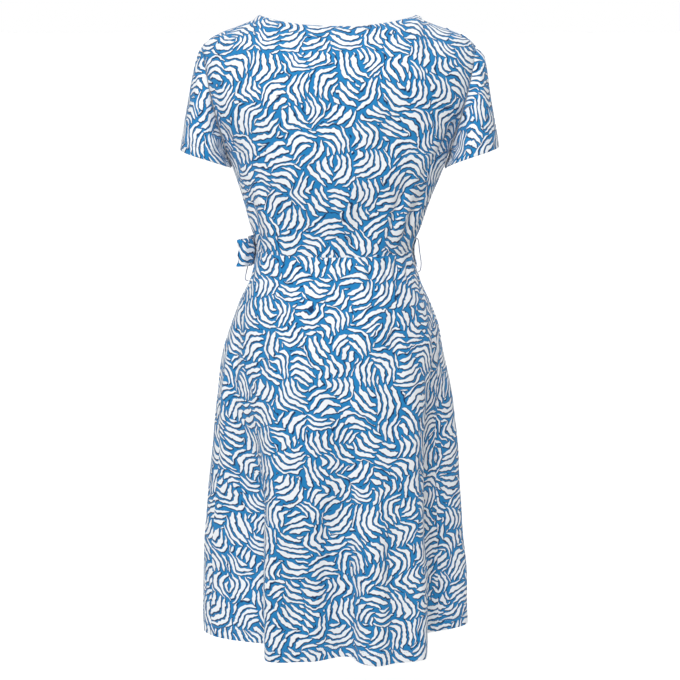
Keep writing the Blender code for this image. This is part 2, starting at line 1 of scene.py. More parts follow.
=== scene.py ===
# %% [markdown]
# # A wrap dress in printed jersey
# The dress keeps the filled-out, hollow shape that it has when it is worn, and its back faces the
# camera. Every cut piece becomes a thin shell of its own: back, two wrapped fronts, sleeves, skirt and
# the parts of the tie belt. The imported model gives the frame, and each shell replaces one of its solids.

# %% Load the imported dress
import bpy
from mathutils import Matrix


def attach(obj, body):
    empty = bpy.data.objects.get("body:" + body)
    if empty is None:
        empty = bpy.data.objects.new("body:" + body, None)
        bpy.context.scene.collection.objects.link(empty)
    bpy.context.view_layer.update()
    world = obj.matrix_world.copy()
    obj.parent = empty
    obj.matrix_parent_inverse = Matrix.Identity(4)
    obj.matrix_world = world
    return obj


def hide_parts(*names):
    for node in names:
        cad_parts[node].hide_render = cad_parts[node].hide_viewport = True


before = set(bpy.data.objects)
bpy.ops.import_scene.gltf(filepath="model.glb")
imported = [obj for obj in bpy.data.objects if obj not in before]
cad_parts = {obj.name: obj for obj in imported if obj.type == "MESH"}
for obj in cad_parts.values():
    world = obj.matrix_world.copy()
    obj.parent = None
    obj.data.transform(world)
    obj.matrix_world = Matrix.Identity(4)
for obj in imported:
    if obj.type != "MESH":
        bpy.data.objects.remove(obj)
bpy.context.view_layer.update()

# %% Modules
import math

import bmesh
import bpy
import numpy as np
from mathutils import Matrix, Vector

# %% [markdown]
# ## Camera
# The back is seen from 2.2 m away at the height of the shoulders, looking down a little, so that the
# hem curves. A long lens keeps the proportions calm. Such a view could also be made with a camera that
# tracks a target, but plain numbers say more about where it stands.

# %% Camera
CAMERA_AWAY = 2.2
CAMERA_TILT = math.radians(12.65)
PIXELS = 680
FOCAL_PIXELS = 1446.0
SENSOR = 36.0
SHIFT_PIXELS = 2.0
camera_data = bpy.data.cameras.new("camera")
camera_data.sensor_width = SENSOR
camera_data.lens = FOCAL_PIXELS / PIXELS * SENSOR
camera_data.shift_x = SHIFT_PIXELS / PIXELS
camera = bpy.data.objects.new("camera", camera_data)
bpy.context.scene.collection.objects.link(camera)
camera.location = (0.0, CAMERA_AWAY, 0.0)
look = Vector((0.0, -math.cos(CAMERA_TILT), -math.sin(CAMERA_TILT)))
camera.rotation_euler = look.to_track_quat("-Z", "Y").to_euler()
bpy.context.scene.camera = camera
print("lens:", round(camera_data.lens, 1), "mm")

# %% [markdown]
# ## Adding nodes
# Materials are built from nodes. One small function adds a node with its settings and links, so that
# a material reads as a list of steps. Colours are written as sRGB hex codes, as a maker would note
# them, and one function turns them into the linear values that the shader works with.


# %% Node and colour helpers
def add(tree, kind, inputs=(), **settings):
    """Add a node: settings are its options, and inputs are values, sockets to link, or nodes to link by
    their first output."""
    node = tree.nodes.new(kind)
    for option, value in settings.items():
        setattr(node, option, value)
    for socket, value in dict(inputs).items():
        if isinstance(value, bpy.types.Node):
            value = value.outputs[0]
        if isinstance(value, bpy.types.NodeSocket):
            tree.links.new(value, node.inputs[socket])
        else:
            node.inputs[socket].default_value = value
    return node


def linear(code):
    """Linear RGBA of an sRGB hex code."""
    channels = [int(code[i:i + 2], 16) / 255.0 for i in (0, 2, 4)]
    return tuple(c / 12.92 if c <= 0.04045 else ((c + 0.055) / 1.055) ** 2.4 for c in channels) + (1.0,)


print("white is", [round(c, 3) for c in linear("FFFFFF")])

# %% [markdown]
# ## Floor and light
# A shop shows its clothes in a white booth that is lit from below, so that no shadow or horizon shows.
# Here the floor glows a little for the same reason, and the room adds light from all sides. Two wide,
# distant lamps give direction, so that folds and the turn of the sides show: one behind the dress, a
# little to the left, and one in front. A softbox high behind it is near enough to fade towards the hem.
# The standard view keeps the inks at their own colours; a filmic one would grey the whites.

# %% Room
FLOOR_Z = -1.42
FLOOR_HALF = 60.0
FLOOR_EDGE = 0.40
FLOOR_GLOW = 0.30
ROOM_LIGHT = 0.17
ROOM_WHITE = 1.0
SOFTBOX_PLACE = Vector((0.35, 1.90, 0.75))
SOFTBOX_TOWARDS = Vector((0.0, 0.12, -0.15))
SOFTBOX_SIDE = 1.2
SOFTBOX_WATTS = 24.0
# the way towards a distant lamp, its strength and its softness in degrees
KEY_LIGHT = ((0.15, 1.0, 0.60), 1.70, 50.0)
FRONT_FILL = ((-0.2, -1.0, 0.8), 2.0, 70.0)
floor_mesh = bpy.data.meshes.new("floor")
floor_bm = bmesh.new()
bmesh.ops.create_grid(floor_bm, x_segments=1, y_segments=1, size=FLOOR_HALF)
bmesh.ops.translate(floor_bm, verts=floor_bm.verts, vec=(0.0, FLOOR_EDGE - FLOOR_HALF, FLOOR_Z))
floor_bm.to_mesh(floor_mesh)
floor_bm.free()
floor = bpy.data.objects.new("floor", floor_mesh)
bpy.context.scene.collection.objects.link(floor)
matt_white = bpy.data.materials.new("matt_white_floor")
matt_white.use_nodes = True
floor_shader = matt_white.node_tree.nodes["Principled BSDF"]
floor_shader.inputs["Base Color"].default_value = linear("FAFAFA")
floor_shader.inputs["Roughness"].default_value = 1.0
floor_shader.inputs["Emission Color"].default_value = linear("FFFFFF")
floor_shader.inputs["Emission Strength"].default_value = FLOOR_GLOW
floor_mesh.materials.append(matt_white)

world = bpy.data.worlds.new("white_room")
world.use_nodes = True
bpy.context.scene.world = world
backdrop = world.node_tree.nodes["Background"]
backdrop.inputs["Color"].default_value = linear("FFFFFF")
seen = add(world.node_tree, "ShaderNodeLightPath").outputs["Is Camera Ray"]
strength = add(world.node_tree, "ShaderNodeMath", {0: seen, 1: ROOM_WHITE - ROOM_LIGHT, 2: ROOM_LIGHT},
               operation="MULTIPLY_ADD")
world.node_tree.links.new(strength.outputs[0], backdrop.inputs["Strength"])
bpy.context.scene.view_settings.view_transform = "Standard"


def lamp(name, towards_lamp, strength, softness):
    """A distant lamp: towards_lamp points from the dress to it, and softness is the angle it fills."""
    data = bpy.data.lights.new(name, "SUN")
    data.energy = strength
    data.angle = math.radians(softness)
    light = bpy.data.objects.new(name, data)
    light.rotation_euler = Vector(towards_lamp).to_track_quat("Z", "Y").to_euler()
    bpy.context.scene.collection.objects.link(light)
    return light


key = lamp("key", *KEY_LIGHT)
front_fill = lamp("front_fill", *FRONT_FILL)
softbox_data = bpy.data.lights.new("softbox", "AREA")
softbox_data.energy = SOFTBOX_WATTS
softbox_data.size = SOFTBOX_SIDE
softbox = bpy.data.objects.new("softbox", softbox_data)
softbox.location = SOFTBOX_PLACE
softbox.rotation_euler = (SOFTBOX_PLACE - SOFTBOX_TOWARDS).to_track_quat("Z", "Y").to_euler()
softbox.visible_camera = False
bpy.context.scene.collection.objects.link(softbox)
print("lamps:", key.name, front_fill.name, softbox.name)

# %% [markdown]
# ## Sizes of the body's shape
# The dress is a stack of sections: at each height, half widths and depths, with the angle of the side
# seams. Angles turn about the Z axis: 0 is the back, 90 the wearer's left, 180 the front and 270 the
# right. These are the sizes of the solids, so that each shell lies on its solid's form.

# %% Section tables
WAIST_Z = -0.350
HEM_Z = -0.970
ARMPIT_Z = -0.198
NECK_POINT_Z = 0.001
NECK_HALF = 0.1158
NECK_DROP_BACK = 0.0155
NECK_DIP_POWER = 2.4
NECK_EDGE_BOW = 0.006
SHOULDER_REACH = 0.204
SHOULDER_ROUND_BACK = 0.115
SHOULDER_ROUND_FRONT = 0.100
SECTION_ROUNDNESS = 2.2

SECTION_COLUMNS = ("height", "left", "right", "back", "front", "seam")
SECTIONS = (
    (0.010, 0.217, 0.221, 0.100, 0.094, 90.0),
    (-0.045, 0.213, 0.217, 0.102, 0.100, 90.0),
    (-0.085, 0.206, 0.210, 0.105, 0.109, 90.0),
    (-0.130, 0.196, 0.199, 0.107, 0.121, 90.0),
    (-0.180, 0.175, 0.177, 0.106, 0.131, 90.0),
    (-0.226, 0.159, 0.161, 0.103, 0.132, 89.0),
    (-0.269, 0.146, 0.143, 0.096, 0.122, 88.0),
    (-0.306, 0.136, 0.130, 0.089, 0.109, 87.0),
    (-0.350, 0.126, 0.115, 0.084, 0.099, 86.0),
    (-0.372, 0.1292, 0.1187, 0.0885, 0.1015, 85.0),
    (-0.399, 0.137, 0.127, 0.096, 0.106, 84.0),
    (-0.437, 0.155, 0.144, 0.108, 0.113, 82.0),
    (-0.475, 0.168, 0.159, 0.117, 0.119, 80.0),
    (-0.532, 0.182, 0.171, 0.126, 0.124, 79.0),
    (-0.610, 0.194, 0.184, 0.133, 0.129, 79.0),
    (-0.729, 0.206, 0.196, 0.137, 0.135, 80.0),
    (-0.851, 0.215, 0.207, 0.139, 0.142, 81.0),
    (-0.970, 0.219, 0.213, 0.140, 0.150, 82.0),
)
SHOULDER_COLUMNS = ("reach", "height")
SHOULDER_LINE = (
    (0.0000, 0.0010),
    (0.1100, 0.0010),
    (0.1158, 0.0010),
    (0.1250, -0.0055),
    (0.1380, -0.0110),
    (0.1680, -0.0220),
    (0.1826, -0.0284),
    (0.1974, -0.0385),
    (0.2050, -0.0475),
    (0.2120, -0.0635),
    (0.2300, -0.1500),
)
ARMHOLE_COLUMNS = ("share", "back", "front")
ARMHOLE = (
    (0.00, 90.0, 90.0),
    (0.12, 85.0, 95.5),
    (0.30, 79.5, 102.5),
    (0.50, 76.5, 106.5),
    (0.75, 77.5, 105.5),
    (1.00, 81.0, 99.0),
)

# %% [markdown]
# Large folds hang from a start height, reach full depth at a second one and fade out at a third where
# it is given. Each may be wider towards larger angles than towards smaller ones.

# %% Large folds
NO_END = -2.0
# angle, push, wide_up, wide_down, start, full, end
FOLDS = (
    (62.0, -0.059, 27.0, 24.0, -0.44, -0.97, NO_END),
    (36.0, 0.012, 10.0, 15.0, -0.48, -0.97, NO_END),
    (-4.0, -0.021, 24.0, 12.0, -0.46, -0.97, NO_END),
    (-22.0, 0.019, 11.0, 20.0, -0.50, -0.97, NO_END),
    (-44.0, 0.014, 16.0, 8.0, -0.46, -0.97, NO_END),
    (-76.0, -0.063, 29.0, 18.0, -0.42, -0.97, NO_END),
    (103.0, 0.010, 14.0, 14.0, -0.50, -0.97, NO_END),
    (124.0, -0.030, 18.0, 16.0, -0.46, -0.97, NO_END),
    (151.0, 0.010, 14.0, 14.0, -0.50, -0.97, NO_END),
    (176.0, -0.022, 18.0, 16.0, -0.52, -0.97, NO_END),
    (203.0, 0.012, 15.0, 15.0, -0.48, -0.97, NO_END),
    (232.0, -0.034, 18.0, 20.0, -0.44, -0.97, NO_END),
    (50.0, -0.0035, 8.0, 9.0, -0.20, -0.26, -0.340),
    (-49.0, -0.0040, 8.0, 7.0, -0.22, -0.29, -0.350),
    (-62.0, -0.0035, 6.0, 7.0, -0.23, -0.29, -0.350),
    (18.0, -0.0030, 12.0, 12.0, -0.24, -0.31, -0.350),
    (-20.0, -0.0030, 12.0, 12.0, -0.25, -0.32, -0.350),
    (140.0, -0.0035, 10.0, 10.0, -0.22, -0.30, -0.350),
    (222.0, -0.0035, 10.0, 10.0, -0.22, -0.30, -0.350),
    (30.0, -0.0030, 9.0, 9.0, -0.353, -0.385, -0.460),
    (-33.0, -0.0035, 9.0, 8.0, -0.353, -0.385, -0.470),
    (-55.0, -0.0035, 8.0, 8.0, -0.353, -0.380, -0.450),
)


# %% [markdown]
# ## Reading the tables
# A smooth curve through a table's rows is worked out once, at many places, and then read for whole
# arrays of points at a time. That is much quicker than one point after another.


# %% Smooth curves through tables
CURVE_STEPS = 40


def slope(keys, values, slot):
    """Slope of a table's curve at one of its rows, flat where the values turn."""
    if slot == 0 or slot == len(keys) - 1:
        near = min(slot, len(keys) - 2)
        return (values[near + 1] - values[near]) / (keys[near + 1] - keys[near])
    before = (values[slot] - values[slot - 1]) / (keys[slot] - keys[slot - 1])
    after = (values[slot + 1] - values[slot]) / (keys[slot + 1] - keys[slot])
    return 0.0 if before * after <= 0.0 else 2.0 * before * after / (before + after)


def curve(rows, columns, name):
    """Dense keys and values of a named column, on a smooth curve through its rows."""
    index = columns.index(name)
    keys = [row[0] for row in rows]
    values = [row[index] for row in rows]
    if keys[0] > keys[-1]:
        keys.reverse()
        values.reverse()
    dense_keys, dense_values = [], []
    for slot in range(len(keys) - 1):
        span = keys[slot + 1] - keys[slot]
        share = np.linspace(0.0, 1.0, CURVE_STEPS, endpoint=False)
        start = slope(keys, values, slot) * span
        end = slope(keys, values, slot + 1) * span
        rise = values[slot + 1] - values[slot]
        dense_keys.append(keys[slot] + share * span)
        dense_values.append(values[slot] + start * share + (3.0 * rise - 2.0 * start - end) * share ** 2
                            + (start + end - 2.0 * rise) * share ** 3)
    dense_keys.append([keys[-1]])
    dense_values.append([values[-1]])
    return np.concatenate(dense_keys), np.concatenate(dense_values)


section_curves = {name: curve(SECTIONS, SECTION_COLUMNS, name) for name in SECTION_COLUMNS[1:]}
shoulder_curve = curve(SHOULDER_LINE, SHOULDER_COLUMNS, "height")
armhole_curves = {name: curve(ARMHOLE, ARMHOLE_COLUMNS, name) for name in ARMHOLE_COLUMNS[1:]}


def read(curves, at):
    """Values of a curve at one place or at an array of them."""
    return np.interp(at, *curves)


def smooth(share):
    """Ease a share in at 0 and out at 1."""
    share = np.clip(share, 0.0, 1.0)
    return share * share * (3.0 - 2.0 * share)


def mix(start, end, share):
    return start + (end - start) * share


print("waist:", {name: round(float(read(section_curves[name], WAIST_Z)), 4) for name in section_curves})


# %% [markdown]
# ## The surface of the dress
# Everything that lies on the dress asks this surface where it is. Near the shoulders the section
# closes in towards the shoulder seam, as two panels do that are sewn together over a shoulder.


# %% Surface
SLOPE_HEIGHT = 0.003
SLOPE_ANGLE = 1.5
HALVINGS = 40
TINY = 1e-12


def turn_from(centre, angle):
    """Degrees from a centre to an angle, from -180 to 180."""
    return (angle - centre + 540.0) % 360.0 - 180.0


def fold_push(angle, height):
    """Sum of the large folds at each place, outwards."""
    total = np.zeros(np.broadcast(angle, height).shape)
    for centre, push, wide_up, wide_down, start, full, end in FOLDS:
        away = turn_from(centre, angle)
        reach = away / np.where(away > 0.0, wide_up, wide_down)
        grown = np.clip((start - height) / (start - full), 0.0, 1.0)
        if end != NO_END:
            grown = smooth(grown) * smooth((height - end) / (full - end))
        total += np.where(abs(reach) < 1.0, push * grown * np.cos(reach * math.pi / 2.0) ** 2, 0.0)
    return total


def section_radius(angle, height):
    """Distance from the middle to the dress, with its large folds."""
    across, along = np.sin(np.radians(angle)), np.cos(np.radians(angle))
    wide = np.where(across > 0.0, read(section_curves["left"], height), read(section_curves["right"], height))
    deep = np.where(along > 0.0, read(section_curves["back"], height), read(section_curves["front"], height))
    powers = (abs(across) / wide) ** SECTION_ROUNDNESS + (abs(along) / deep) ** SECTION_ROUNDNESS
    return powers ** (-1.0 / SECTION_ROUNDNESS) + fold_push(angle, height)


def surface(angle, height):
    """Points on the outside of the dress."""
    radius = section_radius(angle, height)
    x = radius * np.sin(np.radians(angle))
    y = radius * np.cos(np.radians(angle))
    line = read(shoulder_curve, abs(x))
    rounding = np.where(y > 0.0, SHOULDER_ROUND_BACK, SHOULDER_ROUND_FRONT)
    drop = np.clip((line - height) / rounding, 0.0, 1.0)
    return np.stack([x, y * np.sqrt(1.0 - (1.0 - drop) ** 2), height + 0.0 * x], axis=-1)


def unit(vectors):
    return vectors / np.maximum(np.linalg.norm(vectors, axis=-1, keepdims=True), TINY)


def outward(angle, height):
    """Direction straight out of the dress."""
    up = surface(angle, height + SLOPE_HEIGHT) - surface(angle, height - SLOPE_HEIGHT)
    around = surface(angle + SLOPE_ANGLE, height) - surface(angle - SLOPE_ANGLE, height)
    return unit(np.cross(up, around))


def lifted(angle, height, out):
    """Points that lie some way out from the dress."""
    return surface(angle, height) + outward(angle, height) * np.expand_dims(out + 0.0 * angle, -1)


def side_seam(side, height):
    """Angle of the side seam: side is 1 for the wearer's left and -1 for the right."""
    angle = read(section_curves["seam"], height)
    return angle if side > 0 else 360.0 - angle


def angle_reaching(x, height, front):
    """Angle on the back or the front at which the surface reaches out to x."""
    x, height = np.broadcast_arrays(np.asarray(x, float), np.asarray(height, float))
    low, high = np.zeros(x.shape), np.full(x.shape, 90.0)
    sign = np.where(x < 0.0, -1.0, 1.0)
    for _ in range(HALVINGS):
        middle = (low + high) / 2.0
        turned = (180.0 - middle if front else middle) * sign
        short = abs(surface(turned, height)[..., 0]) < abs(x)
        low, high = np.where(short, middle, low), np.where(short, high, middle)
    return np.where(x > 0.0, 180.0 - low, 180.0 + low) if front else low * sign


print("bust reaches", np.round(surface(90.0, -0.18), 3), "and the hem", np.round(surface(0.0, HEM_Z), 3))

# %% [markdown]
# ## Edges of the bodice
# The bodice's panels share their edges: side seam, armhole, shoulder seam and neckline. A panel's grid
# runs between them, so that its columns fan out as the grain of a fitted panel does.


# %% Bodice edges
LOWER_ROWS = 6
LOWER_EASE = 1.4
ARMHOLE_ROWS = 10
BODICE_ROWS = LOWER_ROWS + ARMHOLE_ROWS
NECK_SHARE = 7.0 / 16.0
WRAP_SHARE = 9.0 / 28.0
ON_MIDDLE = 1e-6


def line_height(reach):
    return read(shoulder_curve, abs(reach))


def armhole(side, front, share):
    """Angle and height of the armhole seam, from the underarm (0) to the shoulder seam (1)."""
    top = line_height(SHOULDER_REACH)
    height = mix(ARMPIT_Z, top, (1.0 - np.cos(math.pi * share)) / 2.0)
    angle = read(armhole_curves["front" if front else "back"], share)
    end = angle_reaching(side * SHOULDER_REACH, top, front)
    if side < 0:
        angle = 360.0 - angle if front else -angle
    return mix(angle, end, share ** 4), height


def side_edge(side, front, row):
    """A bodice panel's outer edge: side seam first, armhole above it."""
    low_height = mix(WAIST_Z, ARMPIT_Z, (np.clip(row, 0, LOWER_ROWS) / LOWER_ROWS) ** LOWER_EASE)
    low_angle = side_seam(side, low_height) - (360.0 if side < 0 and not front else 0.0)
    angle, height = armhole(side, front, np.clip(row - LOWER_ROWS, 0, ARMHOLE_ROWS) / ARMHOLE_ROWS)
    low = row <= LOWER_ROWS
    return np.where(low, low_angle, angle), np.where(low, low_height, height)


def top_weight(row):
    """How much of the top edge's shape a row takes on: none at the underarm, all at the shoulder."""
    share = np.clip(row - LOWER_ROWS, 0, ARMHOLE_ROWS) / ARMHOLE_ROWS
    return (1.0 - np.cos(math.pi * share)) / 2.0


def back_top(share):
    """The back's top edge: neckline in the middle, shoulder seams beside it."""
    part = abs(share)
    neck_x = NECK_HALF * part / NECK_SHARE
    neck_z = NECK_POINT_Z - NECK_DROP_BACK * (1.0 - np.clip(neck_x / NECK_HALF, 0.0, 1.0) ** NECK_DIP_POWER)
    seam_x = mix(NECK_HALF, SHOULDER_REACH, (part - NECK_SHARE) / (1.0 - NECK_SHARE))
    x = np.where(part <= NECK_SHARE, neck_x, seam_x)
    height = np.where(part <= NECK_SHARE, neck_z, line_height(seam_x))
    return angle_reaching(np.where(share < 0.0, -x, x), height, False), height


def back_spot(share, row):
    """Angle and height on the back bodice; share runs from -1 at the right edge to 1 at the left."""
    edge_angle = np.where(share >= 0.0, side_edge(1, False, row)[0], side_edge(-1, False, row)[0])
    edge_height = side_edge(1, False, row)[1]
    top = BODICE_ROWS + 0.0 * row
    top_edge_angle = np.where(share >= 0.0, side_edge(1, False, top)[0], side_edge(-1, False, top)[0])
    top_angle, top_height = back_top(share)
    weight = top_weight(row)
    angle = abs(share) * edge_angle + weight * (top_angle - abs(share) * top_edge_angle)
    return angle, edge_height + weight * (top_height - side_edge(1, False, top)[1])


def wrap_angle(side):
    """Angle of a wrapped front's free edge at the waist; side is the side that the panel starts on."""
    left, right = side_seam(1, WAIST_Z), side_seam(-1, WAIST_Z)
    return mix(right, left, WRAP_SHARE) if side > 0 else mix(left, right, WRAP_SHARE)


def neck_edge(side, row):
    """A front's crossing neck edge, from the waist to the shoulder seam."""
    share = (side_edge(side, True, row)[1] - WAIST_Z) / (line_height(SHOULDER_REACH) - WAIST_Z)
    height = mix(WAIST_Z, NECK_POINT_Z, share)
    foot = surface(wrap_angle(side), WAIST_Z)[0]
    x = mix(foot, side * NECK_HALF, share) - side * NECK_EDGE_BOW * np.sin(math.pi * share)
    return np.where(abs(x) < ON_MIDDLE, 180.0, angle_reaching(x, height, True)), height


def front_spot(side, share, row):
    """Angle and height on a front bodice; share runs from 0 at its side edge to 1 at its neck edge."""
    top = BODICE_ROWS + 0.0 * row
    edge_angle, edge_height = side_edge(side, True, row)
    neck_angle, neck_height = neck_edge(side, row)
    top_edge_angle, top_edge_height = side_edge(side, True, top)
    top_neck_angle, top_neck_height = neck_edge(side, top)
    reach = mix(SHOULDER_REACH, NECK_HALF, share)
    weight = top_weight(row)
    angle = mix(edge_angle, neck_angle, share)
    angle = angle + weight * (angle_reaching(side * reach, line_height(reach), True)
                              - mix(top_edge_angle, top_neck_angle, share))
    height = mix(edge_height, neck_height, share)
    return angle, height + weight * (line_height(reach) - mix(top_edge_height, top_neck_height, share))


print("wrapped edges start at", [round(float(wrap_angle(side)), 1) for side in (-1, 1)], "degrees")

# %% [markdown]
# ## Layers
# The wearer's right front lies over the left one and the belt lies over both, so each layer is lifted
# by a little more than the one under it. The lift fades out towards the side seam and the shoulder.

# %% Layers
LAYER = 0.0022
LIFT_ANGLE = 272.0
LIFT_TURN = 42.0
LIFT_TOP = -0.10
LIFT_DROP = 0.085
STEP_TURN = 9.0


def over_lift(angle, height):
    """How far out the upper front lies."""
    return LAYER * smooth((LIFT_ANGLE - angle) / LIFT_TURN) * smooth((LIFT_TOP - height) / LIFT_DROP)


def front_lift(angle, height):
    """How far out the outermost layer of the front lies, wherever the belt rests on it."""
    edge = float(wrap_angle(-1))
    step = over_lift(edge, height) * smooth((angle - edge + STEP_TURN) / STEP_TURN)
    return np.where(angle >= edge, over_lift(angle, height), step)


print("the upper front is lifted by", round(float(over_lift(200.0, -0.3)) * 1000, 2), "mm")

# %% [markdown]
# ## Small creases
# Jersey is soft, so beside its large folds it shows many small ones. Each crease is a soft trough or
# ridge with its own place, lean, length, width and depth, all uneven, as cloth makes them. A cloth
# simulation could find some too, but listed one by one they stay where the cut makes them: fanning
# from the underarms, drawn in at the waist, and hanging from the hips.

# %% Crease table
# angle, height, lean, long, wide, push
CREASES = (
    # tucks above the waist and the drag lines that run down from the underarms
    (56.0, -0.262, 6.0, 0.045, 0.0085, -0.0040),
    (60.0, -0.300, 2.0, 0.060, 0.0090, 0.0022),
    (70.0, -0.285, -4.0, 0.055, 0.0075, -0.0030),
    (-50.0, -0.272, -9.0, 0.060, 0.0080, -0.0036),
    (-57.0, -0.298, -5.0, 0.050, 0.0080, 0.0024),
    (-66.0, -0.280, -9.0, 0.060, 0.0075, -0.0034),
    (-75.0, -0.310, -3.0, 0.040, 0.0060, -0.0022),
    (66.0, -0.205, 32.0, 0.050, 0.0085, -0.0026),
    (-66.0, -0.210, -30.0, 0.055, 0.0085, -0.0028),
    (74.0, -0.170, 20.0, 0.045, 0.0070, -0.0024),
    (-73.0, -0.165, -22.0, 0.045, 0.0070, -0.0026),
    (35.0, -0.295, 10.0, 0.050, 0.0120, -0.0018),
    (-30.0, -0.285, -8.0, 0.055, 0.0120, -0.0018),
    (8.0, -0.305, 3.0, 0.045, 0.0130, -0.0014),
    (25.0, -0.120, 60.0, 0.060, 0.0160, -0.0014),
    (-28.0, -0.105, -58.0, 0.060, 0.0160, -0.0014),
    # short gathers that hang from the waist seam
    (78.0, -0.385, 4.0, 0.035, 0.0070, -0.0026),
    (62.0, -0.380, 8.0, 0.030, 0.0060, -0.0018),
    (47.0, -0.392, 5.0, 0.040, 0.0085, -0.0022),
    (31.0, -0.378, 3.0, 0.028, 0.0070, -0.0014),
    (16.0, -0.388, 2.0, 0.036, 0.0090, -0.0018),
    (2.0, -0.377, 0.0, 0.026, 0.0070, -0.0012),
    (-13.0, -0.390, -3.0, 0.040, 0.0090, -0.0018),
    (-29.0, -0.380, -4.0, 0.030, 0.0070, -0.0016),
    (-44.0, -0.384, -10.0, 0.036, 0.0070, -0.0024),
    (-55.0, -0.372, -24.0, 0.026, 0.0055, -0.0024),
    (-66.0, -0.378, -28.0, 0.030, 0.0060, -0.0028),
    (-80.0, -0.390, -6.0, 0.040, 0.0080, -0.0024),
    # lines down the hips and softer ones over the skirt
    (71.0, -0.520, 3.0, 0.120, 0.0120, -0.0045),
    (78.0, -0.560, 2.0, 0.140, 0.0110, 0.0030),
    (-72.0, -0.530, -4.0, 0.120, 0.0110, -0.0050),
    (-64.0, -0.560, -4.0, 0.120, 0.0120, 0.0028),
    (50.0, -0.500, 8.0, 0.090, 0.0150, -0.0024),
    (-40.0, -0.480, -6.0, 0.080, 0.0150, -0.0022),
    (20.0, -0.560, 5.0, 0.110, 0.0180, -0.0020),
    (-8.0, -0.520, 2.0, 0.100, 0.0180, -0.0016),
    (28.0, -0.800, 2.0, 0.150, 0.0160, -0.0030),
    (8.0, -0.840, -1.0, 0.120, 0.0160, -0.0024),
    (-30.0, -0.830, 1.0, 0.140, 0.0150, -0.0026),
    # the hidden sides
    (116.0, -0.262, -8.0, 0.050, 0.0085, -0.0032),
    (130.0, -0.200, -30.0, 0.055, 0.0100, -0.0022),
    (152.0, -0.285, -14.0, 0.055, 0.0110, -0.0020),
    (208.0, -0.285, 14.0, 0.055, 0.0110, -0.0020),
    (232.0, -0.205, 30.0, 0.055, 0.0100, -0.0022),
    (246.0, -0.265, 8.0, 0.050, 0.0085, -0.0032),
    (172.0, -0.250, 24.0, 0.070, 0.0130, -0.0016),
    (100.0, -0.385, 3.0, 0.036, 0.0070, -0.0024),
    (118.0, -0.395, 2.0, 0.042, 0.0080, -0.0022),
    (140.0, -0.388, 0.0, 0.034, 0.0080, -0.0018),
    (160.0, -0.398, -2.0, 0.042, 0.0090, -0.0020),
    (181.0, -0.388, -2.0, 0.034, 0.0090, -0.0016),
    (203.0, -0.398, -3.0, 0.042, 0.0080, -0.0020),
    (224.0, -0.388, -4.0, 0.034, 0.0080, -0.0020),
    (246.0, -0.392, -6.0, 0.040, 0.0075, -0.0024),
    (108.0, -0.540, 2.0, 0.110, 0.0130, -0.0034),
    (134.0, -0.620, 1.0, 0.130, 0.0160, -0.0024),
    (164.0, -0.560, 0.0, 0.120, 0.0160, -0.0020),
    (190.0, -0.640, 0.0, 0.140, 0.0160, -0.0024),
    (218.0, -0.560, -1.0, 0.120, 0.0150, -0.0026),
    (250.0, -0.540, -3.0, 0.110, 0.0130, -0.0036),
)
# A few low waves that cross each other keep the open stretches from looking ironed: turns about the
# body, waves per metre of height, depth, and where each one starts.
RIPPLES = (
    (7.0, 3.1, 0.0009, 0.4),
    (11.0, -4.3, 0.0006, 1.9),
    (17.0, 6.7, 0.0004, 3.3),
    (5.0, 9.4, 0.0005, 5.2),
)

CREASE_ENDS = 2.2
CREASE_SIDES = 1.6
PRESSED_HALF = 0.0215
PRESSED_FADE = 0.012
PRESSED_REACH = 106.0
PRESSED_TURN = 8.0
BELT_Z = -0.356


def pressed(angle, height):
    """How much of its creases the cloth keeps: none under the belt, which lies round the front."""
    from_front = abs((angle + 360.0) % 360.0 - 180.0)
    under_belt = smooth((PRESSED_REACH - from_front) / PRESSED_TURN)
    return 1.0 - under_belt * (1.0 - smooth((abs(height - BELT_Z) - PRESSED_HALF) / PRESSED_FADE))


def crease_push(angle, height):
    """Depth of the small creases, outwards."""
    total = np.zeros(np.broadcast(angle, height).shape)
    for centre, middle, lean, long, wide, push in CREASES:
        across = np.radians(turn_from(centre, angle)) * read(section_curves["left"], middle)
        up = height - middle
        turn = math.radians(lean)
        along = (up * math.cos(turn) + across * math.sin(turn)) / long
        aside = (across * math.cos(turn) - up * math.sin(turn)) / wide
        total += push * np.exp(-along ** 2 * CREASE_ENDS) * np.exp(-aside ** 2 * CREASE_SIDES)
    for turns, per_metre, deep, start in RIPPLES:
        total += deep * np.sin(np.radians(angle) * turns + height * per_metre * 2.0 * math.pi + start)
    return total * pressed(angle, height)


print("creases:", len(CREASES), "ripples:", len(RIPPLES))

# %% [markdown]
# ## Folds that roll over
# Low on the skirt some folds stand so deep that each rolls over its neighbour and hides the trough
# behind it. A push straight out can't do that, so these places are also moved sideways: most by a few
# millimetres, growing down to the hem, and one at each side by 20 mm or more, nearly all of which eases
# off again before the hem. The hem itself hangs a little lower at the left.

# %% Rolled folds
# angle, wide, sideways, start, full, and the share of it that is left at the hem
ROLLS = (
    (41.0, 6.0, 0.0035, -0.64, -0.97, 1.0),
    (51.0, 7.0, -0.0050, -0.60, -0.97, 1.0),
    (63.0, 10.0, -0.0240, -0.57, -0.74, 0.2),
    (-15.0, 5.0, 0.0045, -0.64, -0.97, 1.0),
    (-8.0, 6.0, -0.0040, -0.64, -0.97, 1.0),
    (-50.0, 6.0, -0.0040, -0.58, -0.97, 1.0),
    (-62.0, 9.0, 0.0060, -0.56, -0.97, 1.0),
    (-68.0, 11.0, 0.0200, -0.50, -0.65, 0.1),
)
# heights between which a roll eases to its share at the hem
ROLL_EASES = (-0.76, -0.97)
# the hem's dip: where, how wide, how far and from which height on
HEM_DIP = (80.0, 26.0, 0.0048, -0.70)
SHOULDER_FADE = 0.035


